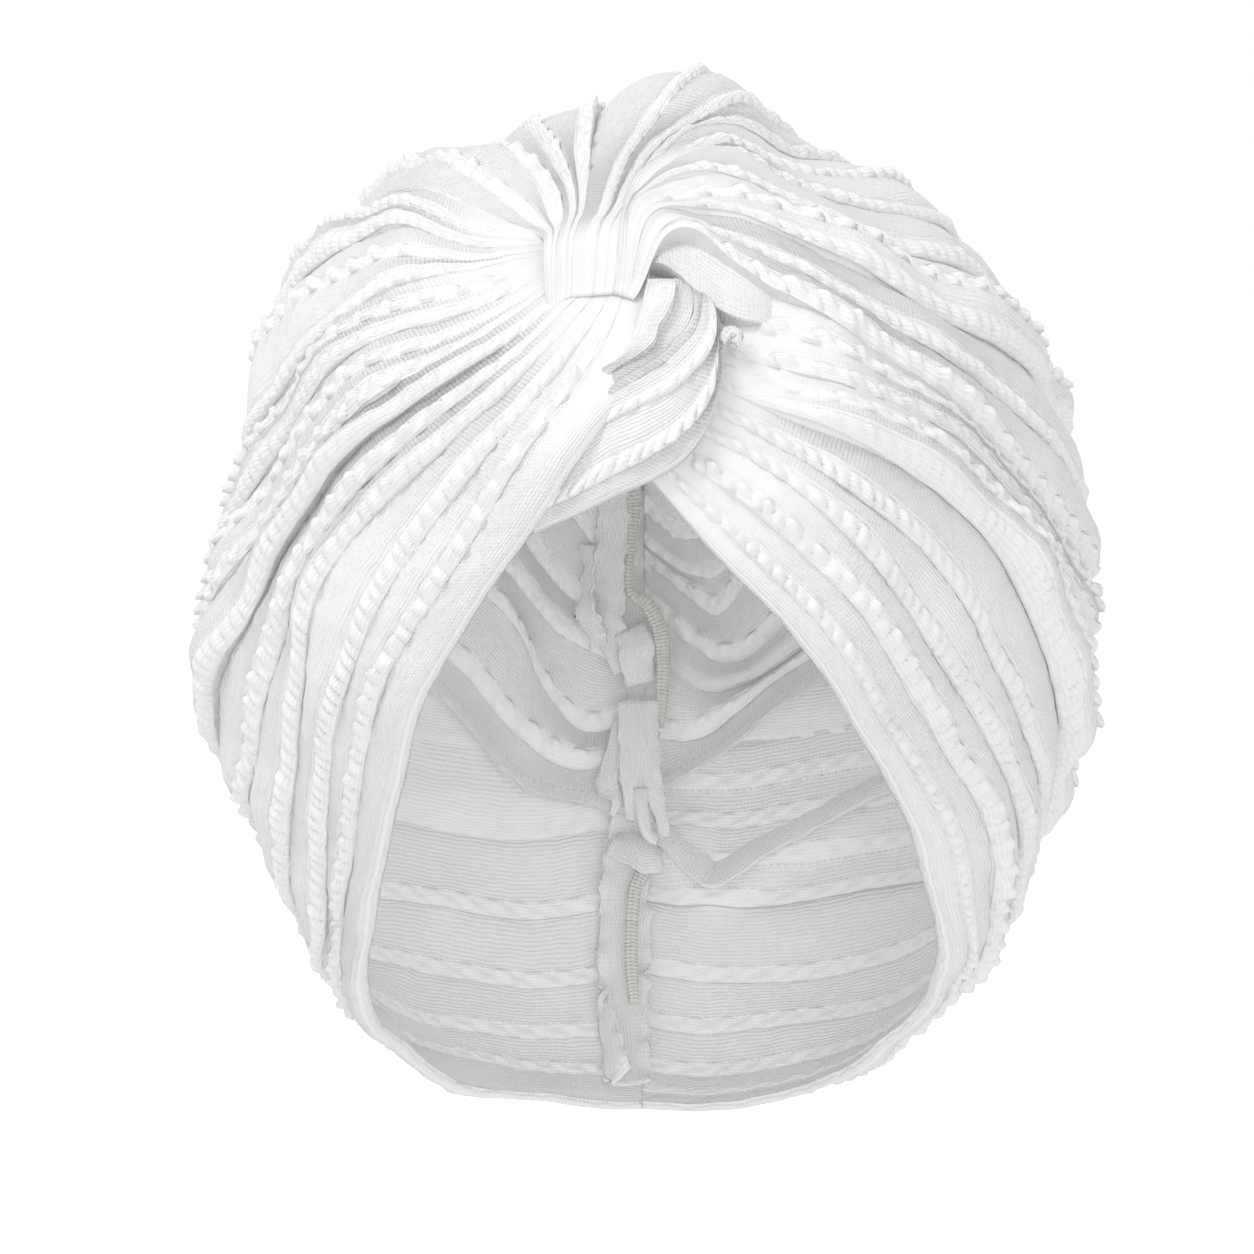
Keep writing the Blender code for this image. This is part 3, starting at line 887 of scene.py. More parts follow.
@dataclass
class Draper:
    """Turns the columns of a cloth into a slab of knit with a right side and a wrong side."""

    form: HeadForm
    wardrobe: Wardrobe

    def drape(self, name: str, cloth: Cloth, slot: str, replaces: str,
              thinning: Thinning) -> bpy.types.Object:
        """Cut a flat slab and lay its two sides on a cloth's points.

        Args:
            name: The piece's name.
            cloth: The cloth's columns.
            slot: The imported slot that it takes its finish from, or tape.
            replaces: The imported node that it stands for.
            thinning: How coarse the wrong side is.

        Returns:
            The piece, riding on the part's one body.
        """
        right, wrong = np.array(cloth.right), np.array(cloth.wrong)
        columns, stations = right.shape[:2]
        flat = bmesh.new()
        bmesh.ops.create_grid(flat, x_segments=columns - 1, y_segments=stations - 1, size=0.5)
        backing = bmesh.ops.extrude_face_region(flat, geom=flat.faces[:], use_keep_orig=True)
        moved = [item for item in backing["geom"] if isinstance(item, bmesh.types.BMVert)]
        bmesh.ops.translate(flat, verts=moved, vec=(0.0, 0.0, -1.0))
        bmesh.ops.recalc_face_normals(flat, faces=flat.faces[:])
        self.thin(flat, columns, 0, thinning.columns)
        self.thin(flat, stations, 1, thinning.stations)
        self.thin_bands(flat, cloth, columns, stations)
        middle, halfway = columns // 2, stations // 2
        up = right[middle + 1, halfway] - right[middle, halfway]
        along = right[middle, halfway + 1] - right[middle, halfway]
        if np.dot(np.cross(up, along), right[middle, halfway] - wrong[middle, halfway]) < 0.0:
            bmesh.ops.reverse_faces(flat, faces=flat.faces[:])
        mesh = bpy.data.meshes.new(name)
        flat.to_mesh(mesh)
        flat.free()
        places = np.zeros(len(mesh.vertices) * 3, np.float32)
        mesh.vertices.foreach_get("co", places)
        places = places.reshape(-1, 3)
        column = np.rint((places[:, 0] + 0.5) * (columns - 1)).astype(int)
        station = np.rint((places[:, 1] + 0.5) * (stations - 1)).astype(int)
        is_right = places[:, 2] > -0.5
        points = np.where(is_right[:, None], right[column, station], wrong[column, station])
        mesh.vertices.foreach_set("co", points.astype(np.float32).ravel())
        stitched_wrong_side = 1.0 if thinning.columns == 1 else 0.0
        self.mark(mesh, cloth, column, station, is_right, stitched_wrong_side)
        mesh.shade_smooth()
        sides = {"tape": (self.wardrobe.raw_edge, self.wardrobe.raw_edge),
                 "seam_edge": (self.wardrobe.inside, self.wardrobe.inside),
                 "knit_inside": (self.wardrobe.inside, self.wardrobe.inside)}
        for finish in sides.get(slot, (self.wardrobe.outside, self.wardrobe.inside)):
            mesh.materials.append(finish.material)
        piece = bpy.data.objects.new(name, mesh)
        bpy.context.scene.collection.objects.link(piece)
        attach(piece, "root")
        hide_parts(replaces)
        triangles = sum(len(face.vertices) - 2 for face in mesh.polygons)
        LOG.info("%s: %d triangles", name, triangles)
        return piece

    @staticmethod
    def thin(flat: bmesh.types.BMesh, count: int, axis: int, keep: int) -> None:
        """Merge the faces of the wrong side across one direction.

        Args:
            flat: The flat slab.
            count: How many lines it has in this direction.
            axis: 0 for columns, 1 for stations.
            keep: Every how many lines one is kept.
        """
        if keep < 2:
            return
        doomed = []
        for edge in flat.edges:
            first, second = edge.verts
            if first.co.z > -0.5 or second.co.z > -0.5 or abs(first.co[axis] - second.co[axis]) > 1e-6:
                continue
            line = round((first.co[axis] + 0.5) * (count - 1))
            if line % keep and line < count - 1:
                doomed.append(edge)
        bmesh.ops.dissolve_edges(flat, edges=doomed, use_verts=True)

    @staticmethod
    def thin_bands(flat: bmesh.types.BMesh, cloth: Cloth, columns: int, stations: int) -> None:
        """Merge every two faces along the smooth bands, where no bubble needs them.

        Args:
            flat: The flat slab.
            cloth: The cloth's columns.
            columns: How many columns the slab has.
            stations: How many stations the slab has.
        """
        smooth = [puff[0] == 0.0 for puff in cloth.puff]
        doomed = []
        for edge in flat.edges:
            first, second = edge.verts
            if abs(first.co.y - second.co.y) > 1e-6 or abs(first.co.z - second.co.z) > 0.5:
                continue
            if round((first.co.y + 0.5) * (stations - 1)) % 2 == 0:
                continue
            pair = [round((vert.co.x + 0.5) * (columns - 1)) for vert in (first, second)]
            if smooth[pair[0]] and smooth[pair[1]]:
                doomed.append(edge)
        bmesh.ops.dissolve_edges(flat, edges=doomed, use_verts=True)

    @staticmethod
    def mark(mesh: bpy.types.Mesh, cloth: Cloth, column: np.ndarray, station: np.ndarray,
             is_right: np.ndarray, stitched_wrong_side: float) -> None:
        """Give a mesh its weave map, its bubble, stitch and gather marks and the finish of each side.

        Args:
            mesh: The slab's mesh.
            cloth: The columns.
            column: Each vertex's column.
            station: Each vertex's station.
            is_right: Whether each vertex is on the right side.
            stitched_wrong_side: 1 where the stitched lines also show on the wrong side.
        """
        corner = np.zeros(len(mesh.loops), np.int32)
        mesh.loops.foreach_get("vertex_index", corner)
        layer = mesh.uv_layers.new(name="cloth")
        weave = np.array(cloth.weave)[column, station][corner]
        layer.data.foreach_set("uv", weave.astype(np.float32).ravel())
        shown = np.where(is_right, 1.0, stitched_wrong_side)
        for name, marks, share in (("puff", cloth.puff, 1.0), ("stitch", cloth.stitch, shown),
                                   ("gather", cloth.gather, 1.0)):
            attribute = mesh.attributes.new(name, "FLOAT", "POINT")
            marked = np.array(marks)[column, station] * share
            attribute.data.foreach_set("value", marked.astype(np.float32))
        starts = np.zeros(len(mesh.polygons), np.int32)
        mesh.polygons.foreach_get("loop_start", starts)
        inside = np.logical_and.reduceat(~is_right[corner], starts)
        mesh.polygons.foreach_set("material_index", inside.astype(np.int32))
        mesh.update()


@dataclass
class PleatedCloth:
    """A cloth that is laid in folds, fold over fold, from one gathered end to the other."""

    name: str
    node: str
    folds: tuple
    flat: tuple[float, float] | None
    stations: int
    thinning: Thinning = Thinning()
    slot: str = "knit"
    facing: Facing = Facing.OUT
    mirrored: bool = False
    lift: float = 0.0
    rest: float = 0.0004
    first: int = 0
    last: int = 99
    wall: float = 0.0020
    inside_share: float = 0.06
    hem_inside_share: float = 0.55
    overlap: float = 0.0004
    lip: float = 0.0006
    crest: float = 0.36
    swell: float = 0.14
    swell_lengths: tuple[float, float] = (0.060, 0.035)
    edge_share: float = 0.26
    band_step: float = 0.0023
    pull: float = 0.00009
    pull_reach: float = 0.0016
    pull_lengths: tuple[float, float, float] = (0.0009, 0.0014, 0.0023)
    tuck_reach: float = 0.010
    lift_reach: float = 0.028
    rolled: float = 0.25
    roll_reach: float = 0.012
    deepen: tuple[float, float] = (0.015, 0.085)
    rise_start: float = 0.006
    rise_reach: float = 0.036
    settle: float = 0.45
    settle_from: float = 0.55
    peaked: bool = False
    loop: bool = False
    hem_stand: float = 0.0
    hem_stands_from: tuple[float, float] = (0.45, 0.85)
    tuck: Tuck | None = None
    goes_under: bool = False
    row_start: tuple[float, float] = (0.010, 0.022)
    least_width: float = 0.0055
    smoothed: tuple[float, float] = (0.008, 0.058)
    thin_end: float = 0.40
    thin_reach: float = 0.018
    crease_top: float = 0.0004
    hem_roll: float = 0.45
    hem_roll_wall: float = 0.4
    hem_width: float = 0.0022
    hem_stitch: tuple[float, float, float] = (0.0046, 0.0050, 0.0058)
    under: tuple[float, float] = (0.0016, 0.0042)
    under_sink: float = -0.0006
    under_wall: float = -0.0011
    dented: float = 0.35
    dented_reach: tuple[float, float] = (0.01, 0.05)
    deep: tuple[float, float] = (0.35, 1.0)
    slack_height: float = 0.004

    def relief(self, run: np.ndarray, relief: float) -> np.ndarray:
        """Height of a fold along its crease.

        Args:
            run: Distance along the crease.
            relief: The fold's full height.

        Returns:
            The height at each station.
        """
        share = run / run[-1]
        if self.loop:
            swell = smooth_step(share, 0.0, 0.16) * (1.0 - 0.7 * smooth_step(share, 0.45, 0.9))
            return relief * swell
        if self.facing is Facing.IN:
            return relief * smooth_step(share, 0.30, 0.50)
        risen = smooth_step(run, self.rise_start, self.rise_reach)
        settled = 1.0 - self.settle * smooth_step(share, self.settle_from, 1.0)
        return relief * risen * settled

    def base(self, run: np.ndarray) -> np.ndarray:
        """Offset that the whole cloth has besides its folds.

        Args:
            run: Distance along the crease.

        Returns:
            The offset at each station.
        """
        if self.loop:
            return self.lift * (1.0 - 0.9 * smooth_step(run / run[-1], 0.72, 0.92))
        rolled = self.rolled + (1.0 - self.rolled) * smooth_step(run, 0.0, self.roll_reach)
        return self.lift * rolled * (1.0 - smooth_step(run, self.tuck_reach, self.lift_reach))

    def build(self, draper: Draper, bubbles: Bubbles, held_with: tuple = ()) -> bpy.types.Object:
        """Args:
            draper: Makes the slab.
            bubbles: The bubble rows' sizes.
            held_with: Narrow pieces that belong to this cloth; not used.

        Returns:
            The finished piece.
        """
        form = draper.form
        places_end = self.folds[0]._fields.index("relief")
        sign = -1.0 if self.mirrored else 1.0
        lines = [form.crease([(sign * bearing, height) for bearing, height in fold[1:places_end]],
                             self.stations, self.node + fold.name) for fold in self.folds]
        cloth = Cloth()
        crossed = np.zeros(self.stations)
        last = min(self.last, len(self.folds) - 1)
        for index in range(len(self.folds) - 1):
            low, high = lines[index], lines[index + 1]
            width = np.linalg.norm(form.place(high[0]) - form.place(low[0]), axis=1)
            if self.first <= index < last:
                folded = Folded(self, form, self.folds[index], self.folds[index + 1], low, high, width,
                                crossed)
                folded.lay(cloth, bubbles)
                if index == last - 1 and self.goes_under:
                    folded.go_under(cloth)
            crossed = crossed + width
        piece = draper.drape(self.name, cloth, self.slot, self.node, self.thinning)
        return piece


@dataclass
class Folded:
    """One fold of a pleated cloth, from its free lower edge up to the next fold."""

    owner: PleatedCloth
    form: HeadForm
    fold: NamedTuple
    after: NamedTuple
    low: tuple
    high: tuple
    width: np.ndarray
    crossed: np.ndarray

    def __post_init__(self) -> None:
        """Work out what every column of the fold needs."""
        owner, fold = self.owner, self.fold
        self.run = self.low[1]
        self.draws = draws_for(owner.node + fold.name + "rows")
        swells = sum(np.sin(self.run * 2.0 * np.pi / length + self.draws.uniform(0.0, FULL_TURN))
                     for length in owner.swell_lengths)
        self.height = owner.relief(self.run, fold.relief * MM) * (1.0 + owner.swell * swells)
        after = owner.relief(self.run, self.after.relief * MM)
        self.narrow = self.width
        self.width = np.maximum(self.width, owner.least_width * (1 + len(fold.rows)))
        deepened = smooth_step(self.run, *owner.deepen)
        self.valley = self.height * (1.0 - fold.depth * deepened)
        self.start = self.valley + (self.height - self.valley) * owner.edge_share
        self.end = np.minimum(self.height, after) * (1.0 - self.after.depth * deepened)
        deep = float(smooth_step(np.array(fold.depth), *owner.deep)) * deepened
        self.slack = np.clip(self.height / owner.slack_height, 0.0, 1.0) * deep
        self.overlap = np.minimum(owner.overlap, 0.25 * self.width) * self.slack
        self.lip = np.minimum(owner.lip, 0.12 * self.width) * (0.25 * deepened + 0.75 * self.slack)

    def level(self, t: np.ndarray) -> np.ndarray:
        """Height of the rounded fold at a share across it."""
        t, crest = np.clip(t, 0.0, 1.0), self.owner.crest
        rise = np.sin(0.5 * np.pi * np.minimum(t / crest, 1.0))
        fall = np.cos(0.5 * np.pi * np.clip((t - crest) / (1.0 - crest), 0.0, 1.0))
        before = self.start + (self.height - self.start) * rise
        beyond = self.end + (self.height - self.end) * fall
        return np.where(t < crest, before, beyond)

    def spot(self, distance: np.ndarray) -> tuple[np.ndarray, np.ndarray, np.ndarray, np.ndarray]:
        """Find the places at a distance above the fold's lower edge.

        Args:
            distance: Distance above the crease, in metres.

        Returns:
            Directions, distances along the crease, shares across the fold, and the form's offset.
        """
        t = distance / self.width
        way = self.low[0] + (self.high[0] - self.low[0]) * t[:, None]
        run = self.low[1] + (self.high[1] - self.low[1]) * t
        dented = self.owner.dented
        if self.owner.facing is Facing.OUT:
            dents = dented + (1.0 - dented) * smooth_step(self.run, *self.owner.dented_reach)
        else:
            dents = 1.0
        base = self.owner.base(run)
        if self.owner.peaked:
            base = base + self.form.peak(way)
        return way, run, t, base + self.form.crumple(way) * dents

    def column(self, cloth: Cloth, distance: np.ndarray, rise: np.ndarray | float = 1.0,
               extra: np.ndarray | float = 0.0, puff: float = 0.0, stitch: float = 0.0,
               behind: np.ndarray | None = None, pucker: np.ndarray | float = 0.0) -> None:
        """Add a column at a distance above the fold's lower edge.

        Args:
            cloth: The cloth to add to.
            distance: Distance above the crease, in metres.
            rise: From 0 in the crease's floor to 1 on top of the fold.
            extra: What is added on the right side.
            puff: How much of a bubble row it is.
            stitch: 1 on a stitched line.
            behind: Where the wrong side lies, if not straight behind.
            pucker: How far the wrong side stands off the right one.
        """
        owner = self.owner
        facing = owner.facing.value
        way, run, t, base = self.spot(distance)
        level = self.valley + (self.level(t) - self.valley) * rise
        wall = owner.wall
        if facing > 0.0 and not owner.loop:
            thinned = smooth_step(self.run, 0.0, owner.thin_reach)
            wall = wall * (owner.thin_end + (1.0 - owner.thin_end) * thinned)
        right = self.form.place(way, base + facing * (owner.rest + level + wall + extra))
        way, _, t, base = self.spot(distance if behind is None else behind)
        share = owner.inside_share
        if self.fold.name == "hem":
            share = share + (owner.hem_inside_share - share) * (1.0 - np.clip(t, 0.0, 1.0)) ** 2
        inner = owner.rest + self.level(t) * share - pucker
        if owner.tuck is not None:
            inner = inner - owner.tuck.stand(self.form, way)
        wrong = self.form.place(way, base + facing * inner)
        if owner.hem_stand and self.fold.name == "hem":
            off = owner.hem_stand * (1.0 - np.clip(t, 0.0, 1.0)) ** 2
            off = off * smooth_step(run / run[-1], *owner.hem_stands_from)
            right, wrong = right - way * off[:, None], wrong - way * off[:, None]
        # Near the twist the gathered cloth gets faded ribs and painted shade.
        gather = 0.0
        if facing > 0.0 and not owner.loop:
            gather = 1.0 - smooth_step(self.run, *owner.smoothed)
        cloth.add(right, wrong, run, float(np.mean(self.crossed + distance)), puff, stitch, gather)

    def lay(self, cloth: Cloth, bubbles: Bubbles) -> None:
        """Add all columns of the fold.

        Args:
            cloth: The cloth to add to.
            bubbles: The bubble rows' sizes.
        """
        backward = smooth_step(self.run / self.run[-1], *bubbles.widens_from)
        full = bubbles.width * (1.0 + bubbles.wider_behind * backward)
        row = np.minimum(full, bubbles.most_of_fold * self.width / (1 + len(self.fold.rows)))
        zero = np.zeros(len(self.run))
        if self.fold.name in ("hem", "outer_edge"):
            rolled = -(self.level(zero) * self.owner.hem_roll + self.owner.hem_roll_wall * self.owner.wall)
            for step in HEM_COLUMNS:
                self.column(cloth, zero + step.place, extra=step.roll * rolled,
                            behind=zero + step.behind)
            start = zero + self.owner.hem_width
            if self.owner.facing is Facing.IN:
                stitched, plain, banded = self.owner.hem_stitch
                self.column(cloth, zero + stitched, stitch=1.0)
                self.column(cloth, zero + plain)
                start = zero + banded
        else:
            for step in CREASE_COLUMNS:
                distance = step.overlap * self.overlap + step.lip * self.lip + step.further
                self.column(cloth, distance, step.rise, step.extra, behind=zero + step.behind)
            start = zero + self.owner.crease_top
        if self.fold.edge_row:
            start = self.row(cloth, bubbles, start, row, True)
        for share in self.fold.rows:
            lower = np.maximum(share * self.width - 0.5 * row, start + bubbles.least_band)
            self.band(cloth, start, lower - bubbles.before_row, False)
            start = self.row(cloth, bubbles, lower, row, False)
        self.band(cloth, start, np.maximum(self.width, start + bubbles.least_end), True)

    def go_under(self, cloth: Cloth) -> None:
        """Let the cloth's upper edge go on a little way under the next cloth."""
        for further in self.owner.under:
            self.column(cloth, self.width + further, extra=self.owner.under_sink,
                        pucker=self.owner.under_wall)

    def row(self, cloth: Cloth, bubbles: Bubbles, lower: np.ndarray, row: np.ndarray,
            on_edge: bool) -> np.ndarray:
        """Add a row of bubbles, scalloped below and stitched straight above.

        Args:
            cloth: The cloth to add to.
            bubbles: The bubble rows' sizes.
            lower: Where the row's lower side lies, above the crease.
            row: The row's width.
            on_edge: Whether the row is the fold's free edge.

        Returns:
            Where the smooth cloth above the row starts.
        """
        count = len(self.run)
        puffs = BubbleRow(bubbles, float(self.run[-1]), self.draws)
        swing, swing_length = bubbles.ease
        ease = 1.0 - swing + swing * np.sin(self.run / swing_length + self.draws.uniform(0.0, FULL_TURN))
        room = bubbles.most_of_fold * self.narrow / (1 + len(self.fold.rows))
        small = smooth_step(np.minimum(row, room) / bubbles.width, *bubbles.smallest) * ease
        if self.owner.facing is Facing.OUT and not self.owner.loop:
            small = small * smooth_step(self.run, *self.owner.row_start)
        tall = bubbles.height * small
        if not on_edge:
            self.column(cloth, lower - bubbles.stitch_below, extra=-bubbles.groove * small, puff=0.5,
                        stitch=1.0)
        for step in range(bubbles.columns):
            place = (step + bubbles.first_column) / bubbles.columns
            humps, shifts, shape, number = puffs.at(self.run, place)
            out = ((1.0 - place) ** 2 * bubbles.scallop * humps + bubbles.shift * shifts) * small
            hang = self.lip * (1.0 - place) ** 2 if on_edge else 0.0
            rise = min(1.0, bubbles.edge_rise + place) if on_edge else 1.0
            crinkle = np.convolve(self.draws.normal(size=count), bubbles.soften, "same")
            raised = tall * (humps - bubbles.sink) + crinkle * bubbles.crinkle * small
            slant = np.where(number % 2, 1.0, -1.0) * (2.0 * place - 1.0)
            even, turned = bubbles.zigzag
            swell = bubbles.pucker * small * math.sin(math.pi * place) ** 0.5
            zigzag = swell * (even + turned * slant * shape)
            self.column(cloth, lower + row * place - out - hang, rise, raised, 1.0,
                        behind=lower + row * place, pucker=zigzag)
        self.column(cloth, lower + row + bubbles.stitch_above, extra=-bubbles.groove * small, puff=0.5,
                    stitch=1.0)
        return lower + row + bubbles.after_row

    def band(self, cloth: Cloth, start: np.ndarray, end: np.ndarray, with_end: bool) -> None:
        """Add a smooth band, pulled a little by the rows beside it.

        Args:
            cloth: The cloth to add to.
            start: Its lower edge above the crease.
            end: Its upper edge above the crease.
            with_end: Whether its last column is added.
        """
        steps = max(3, round(float(np.mean(end - start)) / self.owner.band_step))
        pulls = sum(np.sin(self.run / length + self.draws.uniform(0.0, FULL_TURN))
                    for length in self.owner.pull_lengths)
        for step in range(steps + (1 if with_end else 0)):
            distance = start + (end - start) * step / steps
            near = np.exp(-np.minimum(distance - start, np.abs(end - distance)) / self.owner.pull_reach)
            self.column(cloth, distance, extra=self.owner.pull * pulls * near)


@dataclass
class RibbonMaker:
    """Makes narrow strips of cloth: raw seam edges, tapes and the small folds of the twist."""

    spacing: float = 0.0006
    column_step: float = 0.0007
    ruffle_parts: tuple[float, float, float] = (0.0052, 0.0026, 0.0014)
    ruffle_share: float = 0.6
    free_power: float = 1.6
    wall: float = 0.0010

    def build(self, ribbon: Ribbon, draper: Draper, node: str, facing: Facing) -> bpy.types.Object:
        """Lay a ribbon along its stops.

        Args:
            ribbon: The ribbon's table.
            draper: Makes the slab.
            node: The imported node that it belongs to.
            facing: Which way it looks.

        Returns:
            The piece.
        """
        form, side, draws = draper.form, facing.value, draws_for(ribbon.name)
        stops = smooth_line(np.array(ribbon.stops, float), 12)
        spine = form.place(direction(stops[:, 0], stops[:, 1]), side * stops[:, 2] * MM)
        length = float(np.linalg.norm(np.diff(spine, axis=0), axis=1).sum())
        stops, run = even_spread(spine, stops, max(8, round(length / self.spacing)))
        way = direction(stops[:, 0], stops[:, 1])
        spine = form.place(way, side * stops[:, 2] * MM)
        normal = way * side
        aside = unit(np.cross(normal, np.gradient(spine, axis=0)))
        turn = np.radians(stops[:, 4])[:, None]
        flat_way = aside * np.cos(turn) + normal * np.sin(turn)
        stand = normal * np.cos(turn) - aside * np.sin(turn)
        width = stops[:, 3] * MM
        columns = max(6, round(float(width.max()) / self.column_step))
        fray = [np.convolve(draws.normal(size=len(run)), np.ones(4) / 4.0, "same") for _ in range(2)]
        cloth = Cloth()
        for column in range(columns):
            share = column / (columns - 1) - 0.5
            free = abs(2.0 * share) ** self.free_power
            starts = {part: draws_for(f"{ribbon.name}{share > 0}{part}").uniform(0, FULL_TURN)
                      for part in self.ruffle_parts}
            wave = sum(np.sin(run / part + start) for part, start in starts.items())
            ragged = ribbon.ragged * MM * free * fray[int(share > 0.0)] * np.sign(share)
            ruffle = ribbon.ruffle * MM * free * wave * self.ruffle_share
            out = ribbon.bulge * MM * math.cos(math.pi * share) + ruffle
            middle = spine + flat_way * (share * width + ragged)[:, None] + stand * out[:, None]
            half = stand * self.wall * 0.5
            cloth.add(middle + half, middle - half, run, (share + 0.5) * width)
        return draper.drape(ribbon.name, cloth, ribbon.slot, node, Thinning(1, 1))


@dataclass
class Studio:
    """Pale floor, soft light and the camera of the photograph."""

    form_middle: Vector
    millimetres_per_pixel: float = 0.236
    image_pixels: int = 1254
    distance: float = 1.40
    elevation: float = 3.0
    aim: tuple[float, float] = (-3.8, -6.4)
    sensor: float = 36.0
    floor_drop: float = 0.42
    floor_size: float = 6.0
    surround: float = 0.80

    def camera(self) -> bpy.types.Object:
        """Place the camera at the photograph's angle."""
        data = bpy.data.cameras.new("camera")
        field_width = self.millimetres_per_pixel * MM * self.image_pixels
        data.sensor_width = self.sensor
        data.lens = self.sensor * self.distance / field_width
        data.clip_end = 20.0
        camera = bpy.data.objects.new("camera", data)
        target = self.form_middle + Vector((self.aim[0] * MM, 0.0, self.aim[1] * MM))
        tilt = math.radians(self.elevation)
        back = Vector((0.0, -math.cos(tilt), math.sin(tilt)))
        camera.location = target + back * self.distance
        camera.rotation_euler = (-back).to_track_quat("-Z", "Y").to_euler()
        bpy.context.scene.collection.objects.link(camera)
        bpy.context.scene.camera = camera
        return camera

    def light(self, name: str, place: tuple, size: float, watts: float) -> None:
        """Add a soft area light that looks at the hat.

        Args:
            name: The light's name.
            place: Where it stands, from the form's middle.
            size: Side of its square.
            watts: Its power.
        """
        data = bpy.data.lights.new(name, "AREA")
        data.size = size
        data.energy = watts
        lamp = bpy.data.objects.new(name, data)
        lamp.location = self.form_middle + Vector(place)
        lamp.rotation_euler = Vector(place).to_track_quat("Z", "Y").to_euler()
        bpy.context.scene.collection.objects.link(lamp)

    def world(self) -> None:
        """A white surround that lights the hat a little less than it shows."""
        world = bpy.data.worlds.new("white_surround")
        world.use_nodes = True
        bpy.context.scene.world = world
        tree = world.node_tree
        surround = tree.nodes["Background"]
        surround.inputs["Color"].default_value = (1.0, 1.0, 1.0, 1.0)
        path = tree.nodes.new("ShaderNodeLightPath")
        level = tree.nodes.new("ShaderNodeMapRange")
        level.inputs["To Min"].default_value = self.surround
        level.inputs["To Max"].default_value = 1.0
        tree.links.new(path.outputs["Is Camera Ray"], level.inputs["Value"])
        tree.links.new(level.outputs["Result"], surround.inputs["Strength"])

    def floor(self) -> None:
        """A plain pale floor well below the hat."""
        sheet = bmesh.new()
        bmesh.ops.create_grid(sheet, x_segments=1, y_segments=1, size=self.floor_size)
        bmesh.ops.translate(sheet, verts=sheet.verts, vec=self.form_middle - Vector((0, 0, self.floor_drop)))
        mesh = bpy.data.meshes.new("floor")
        sheet.to_mesh(mesh)
        sheet.free()
        pale = bpy.data.materials.new("pale_floor")
        pale.use_nodes = True
        shader = pale.node_tree.nodes["Principled BSDF"]
        shader.inputs["Base Color"].default_value = (0.95, 0.95, 0.95, 1.0)
        shader.inputs["Roughness"].default_value = 0.9
        shader.inputs["Emission Color"].default_value = (1.0, 1.0, 1.0, 1.0)
        path = pale.node_tree.nodes.new("ShaderNodeLightPath")
        pale.node_tree.links.new(path.outputs["Is Camera Ray"], shader.inputs["Emission Strength"])
        mesh.materials.append(pale)
        floor = bpy.data.objects.new("floor", mesh)
        bpy.context.scene.collection.objects.link(floor)

    def build(self) -> None:
        """Set up everything that isn't the hat."""
        self.world()
        self.floor()
        self.camera()
        self.light("key", (-0.55, -0.85, 1.05), 0.40, 7.2)
        self.light("fill", (0.35, -1.7, 0.0), 0.8, 3.6)
        scene = bpy.context.scene
        scene.view_settings.view_transform = "Standard"


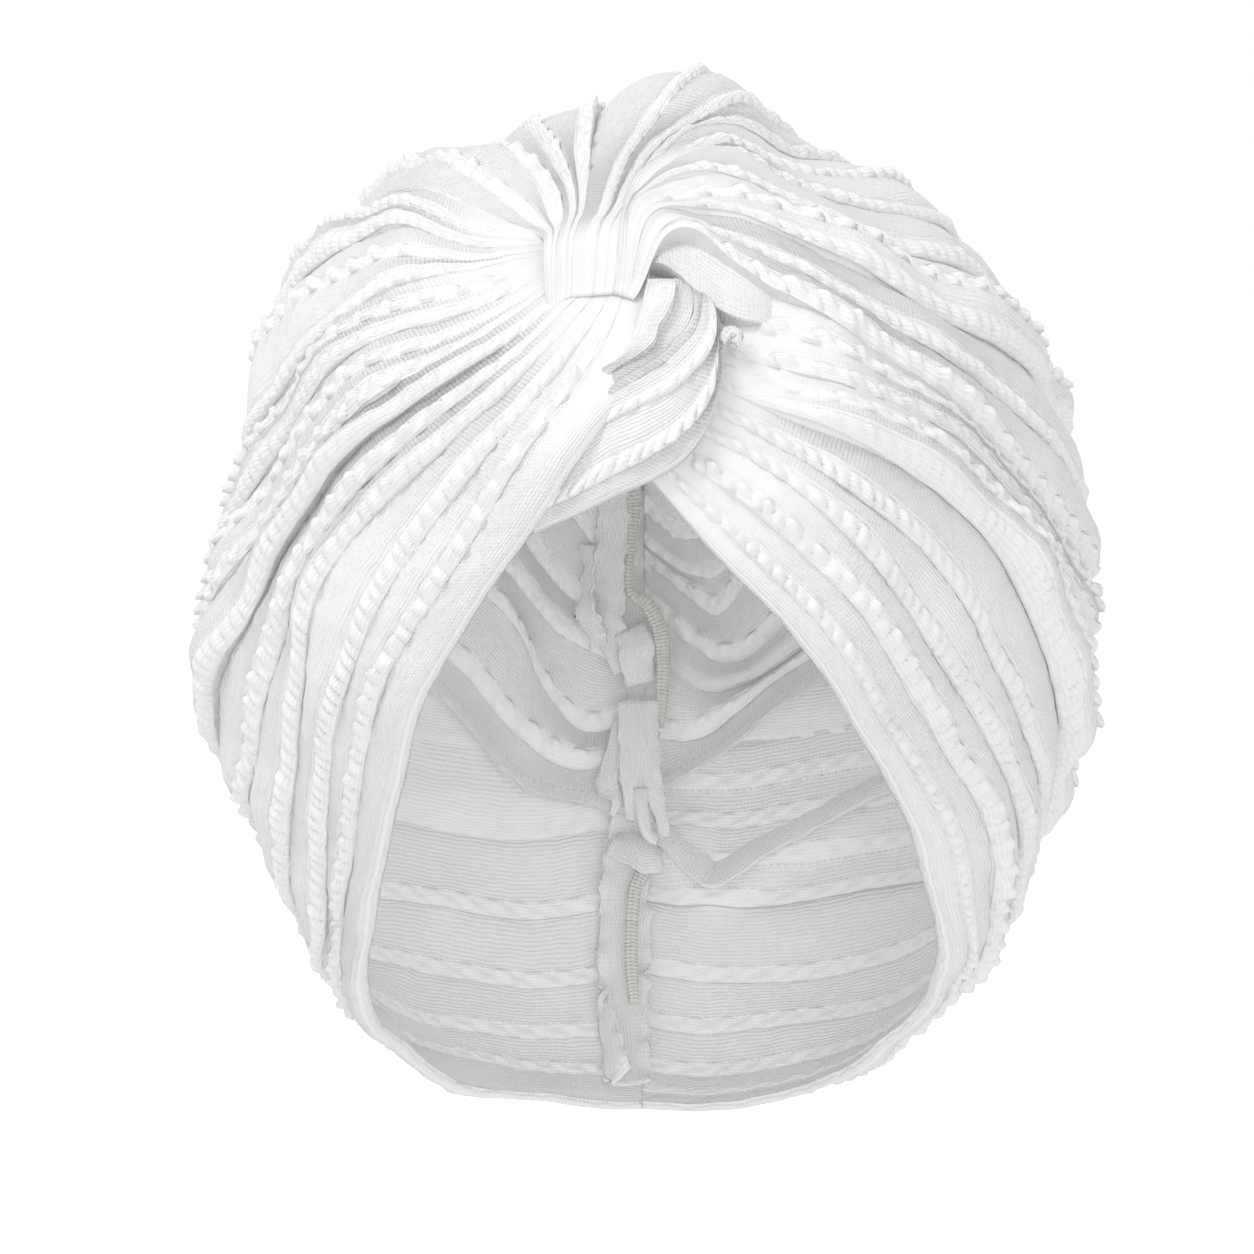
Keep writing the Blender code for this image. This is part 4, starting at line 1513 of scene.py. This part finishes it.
@dataclass
class TurbanHat:
    """The whole hat."""

    draper: Draper
    bubbles: Bubbles
    ribbons: RibbonMaker

    def panels(self) -> list[PleatedCloth]:
        """The front and crown cloths. Two are split at a crease, so that no piece is too heavy."""
        seen_inside, hidden = Thinning(1, 1), Thinning(4, 4)
        return [
            PleatedCloth("left_panel_lower", "left_panel", LEFT_FOLDS, (0.33, 0.08), 761, seen_inside,
                         last=5, goes_under=True),
            PleatedCloth("left_panel_upper", "left_panel", LEFT_FOLDS, (0.33, 0.132), 761, hidden, first=5,
                         goes_under=True, rise_reach=0.065),
            PleatedCloth("right_panel_cloth", "right_panel", RIGHT_FOLDS, (0.33, 0.12), 601, Thinning(1, 2),
                         tuck=Tuck(), rise_start=0.008, rise_reach=0.042, goes_under=True,
                         row_start=(0.003, 0.010), deepen=(0.015, 0.060)),
            PleatedCloth("crown_panel_band", "crown_panel", CROWN_FOLDS, (0.30, 0.11), 681, hidden,
                         lift=0.0054, last=4, deepen=(0.030, 0.080), rise_start=0.002, rise_reach=0.022,
                         goes_under=True, row_start=(0.012, 0.026), peaked=True),
            PleatedCloth("crown_panel_peak", "crown_panel", CROWN_FOLDS, (0.27, 0.15), 601, hidden,
                         lift=0.0054, first=4, deepen=(0.035, 0.090), rise_start=0.025, rise_reach=0.080,
                         row_start=(0.022, 0.042), peaked=True),
        ]

    def liners(self) -> list[PleatedCloth]:
        """The two halves of the second cloth layer inside the crown and back."""
        common = {"flat": (0.28, 0.12), "stations": 381, "slot": "knit_inside", "facing": Facing.IN,
                  "rest": 0.0012, "wall": 0.0010, "inside_share": 0.0, "hem_inside_share": 0.0,
                  "hem_stand": 0.0050, "thinning": Thinning(4, 3)}
        return [
            PleatedCloth("inner_layer_left_cloth", "inner_layer_left", LINER_LEFT, mirrored=True, **common),
            PleatedCloth("inner_layer_right_cloth", "inner_layer_right", LINER_RIGHT, **common),
        ]

    def strips(self, ribbons: tuple, node: str, facing: Facing) -> list[bpy.types.Object]:
        """Build a table of ribbons."""
        return [self.ribbons.build(ribbon, self.draper, node, facing) for ribbon in ribbons]

    def build(self) -> None:
        """Build every piece of the hat in order."""
        twist = self.strips(TWIST_FOLDS, "crown_panel", Facing.OUT)
        flap = PleatedCloth("twist_flap", "crown_panel", TWIST_FLAP, None, 141, Thinning(1, 1),
                            lift=0.0012, loop=True, crest=0.95, edge_share=0.12)
        twist.append(flap.build(self.draper, self.bubbles))
        held = {"crown_panel_band": twist,
                "right_panel_cloth": self.strips(BACK_TUCK, "right_panel", Facing.IN)}
        for cloth in self.panels():
            cloth.build(self.draper, self.bubbles, held.get(cloth.name, ()))
        PleatedCloth("knot_loop_cloth", "knot_loop", LOOP_PLEATS, (0.075, 0.028), 161, lift=0.0026,
                     loop=True).build(self.draper, self.bubbles)
        for cloth in self.liners():
            cloth.build(self.draper, self.bubbles)
        edges = self.strips(SEAM_EDGES, "seam_allowance", Facing.IN)
        strip = self.ribbons.build(SEAM_STRIP, self.draper, "seam_allowance", Facing.IN)


def main() -> None:
    """Load the part, build its looks round it, and log how many triangles each new piece has."""
    logging.basicConfig(level=logging.INFO, format="%(name)s: %(message)s")
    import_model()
    form = HeadForm()
    hat = TurbanHat(Draper(form, Wardrobe.make()), Bubbles(), RibbonMaker())
    hat.build()
    Studio(Vector((0.0, 0.0, -form.seat))).build()


if __name__ == "__main__":
    main()
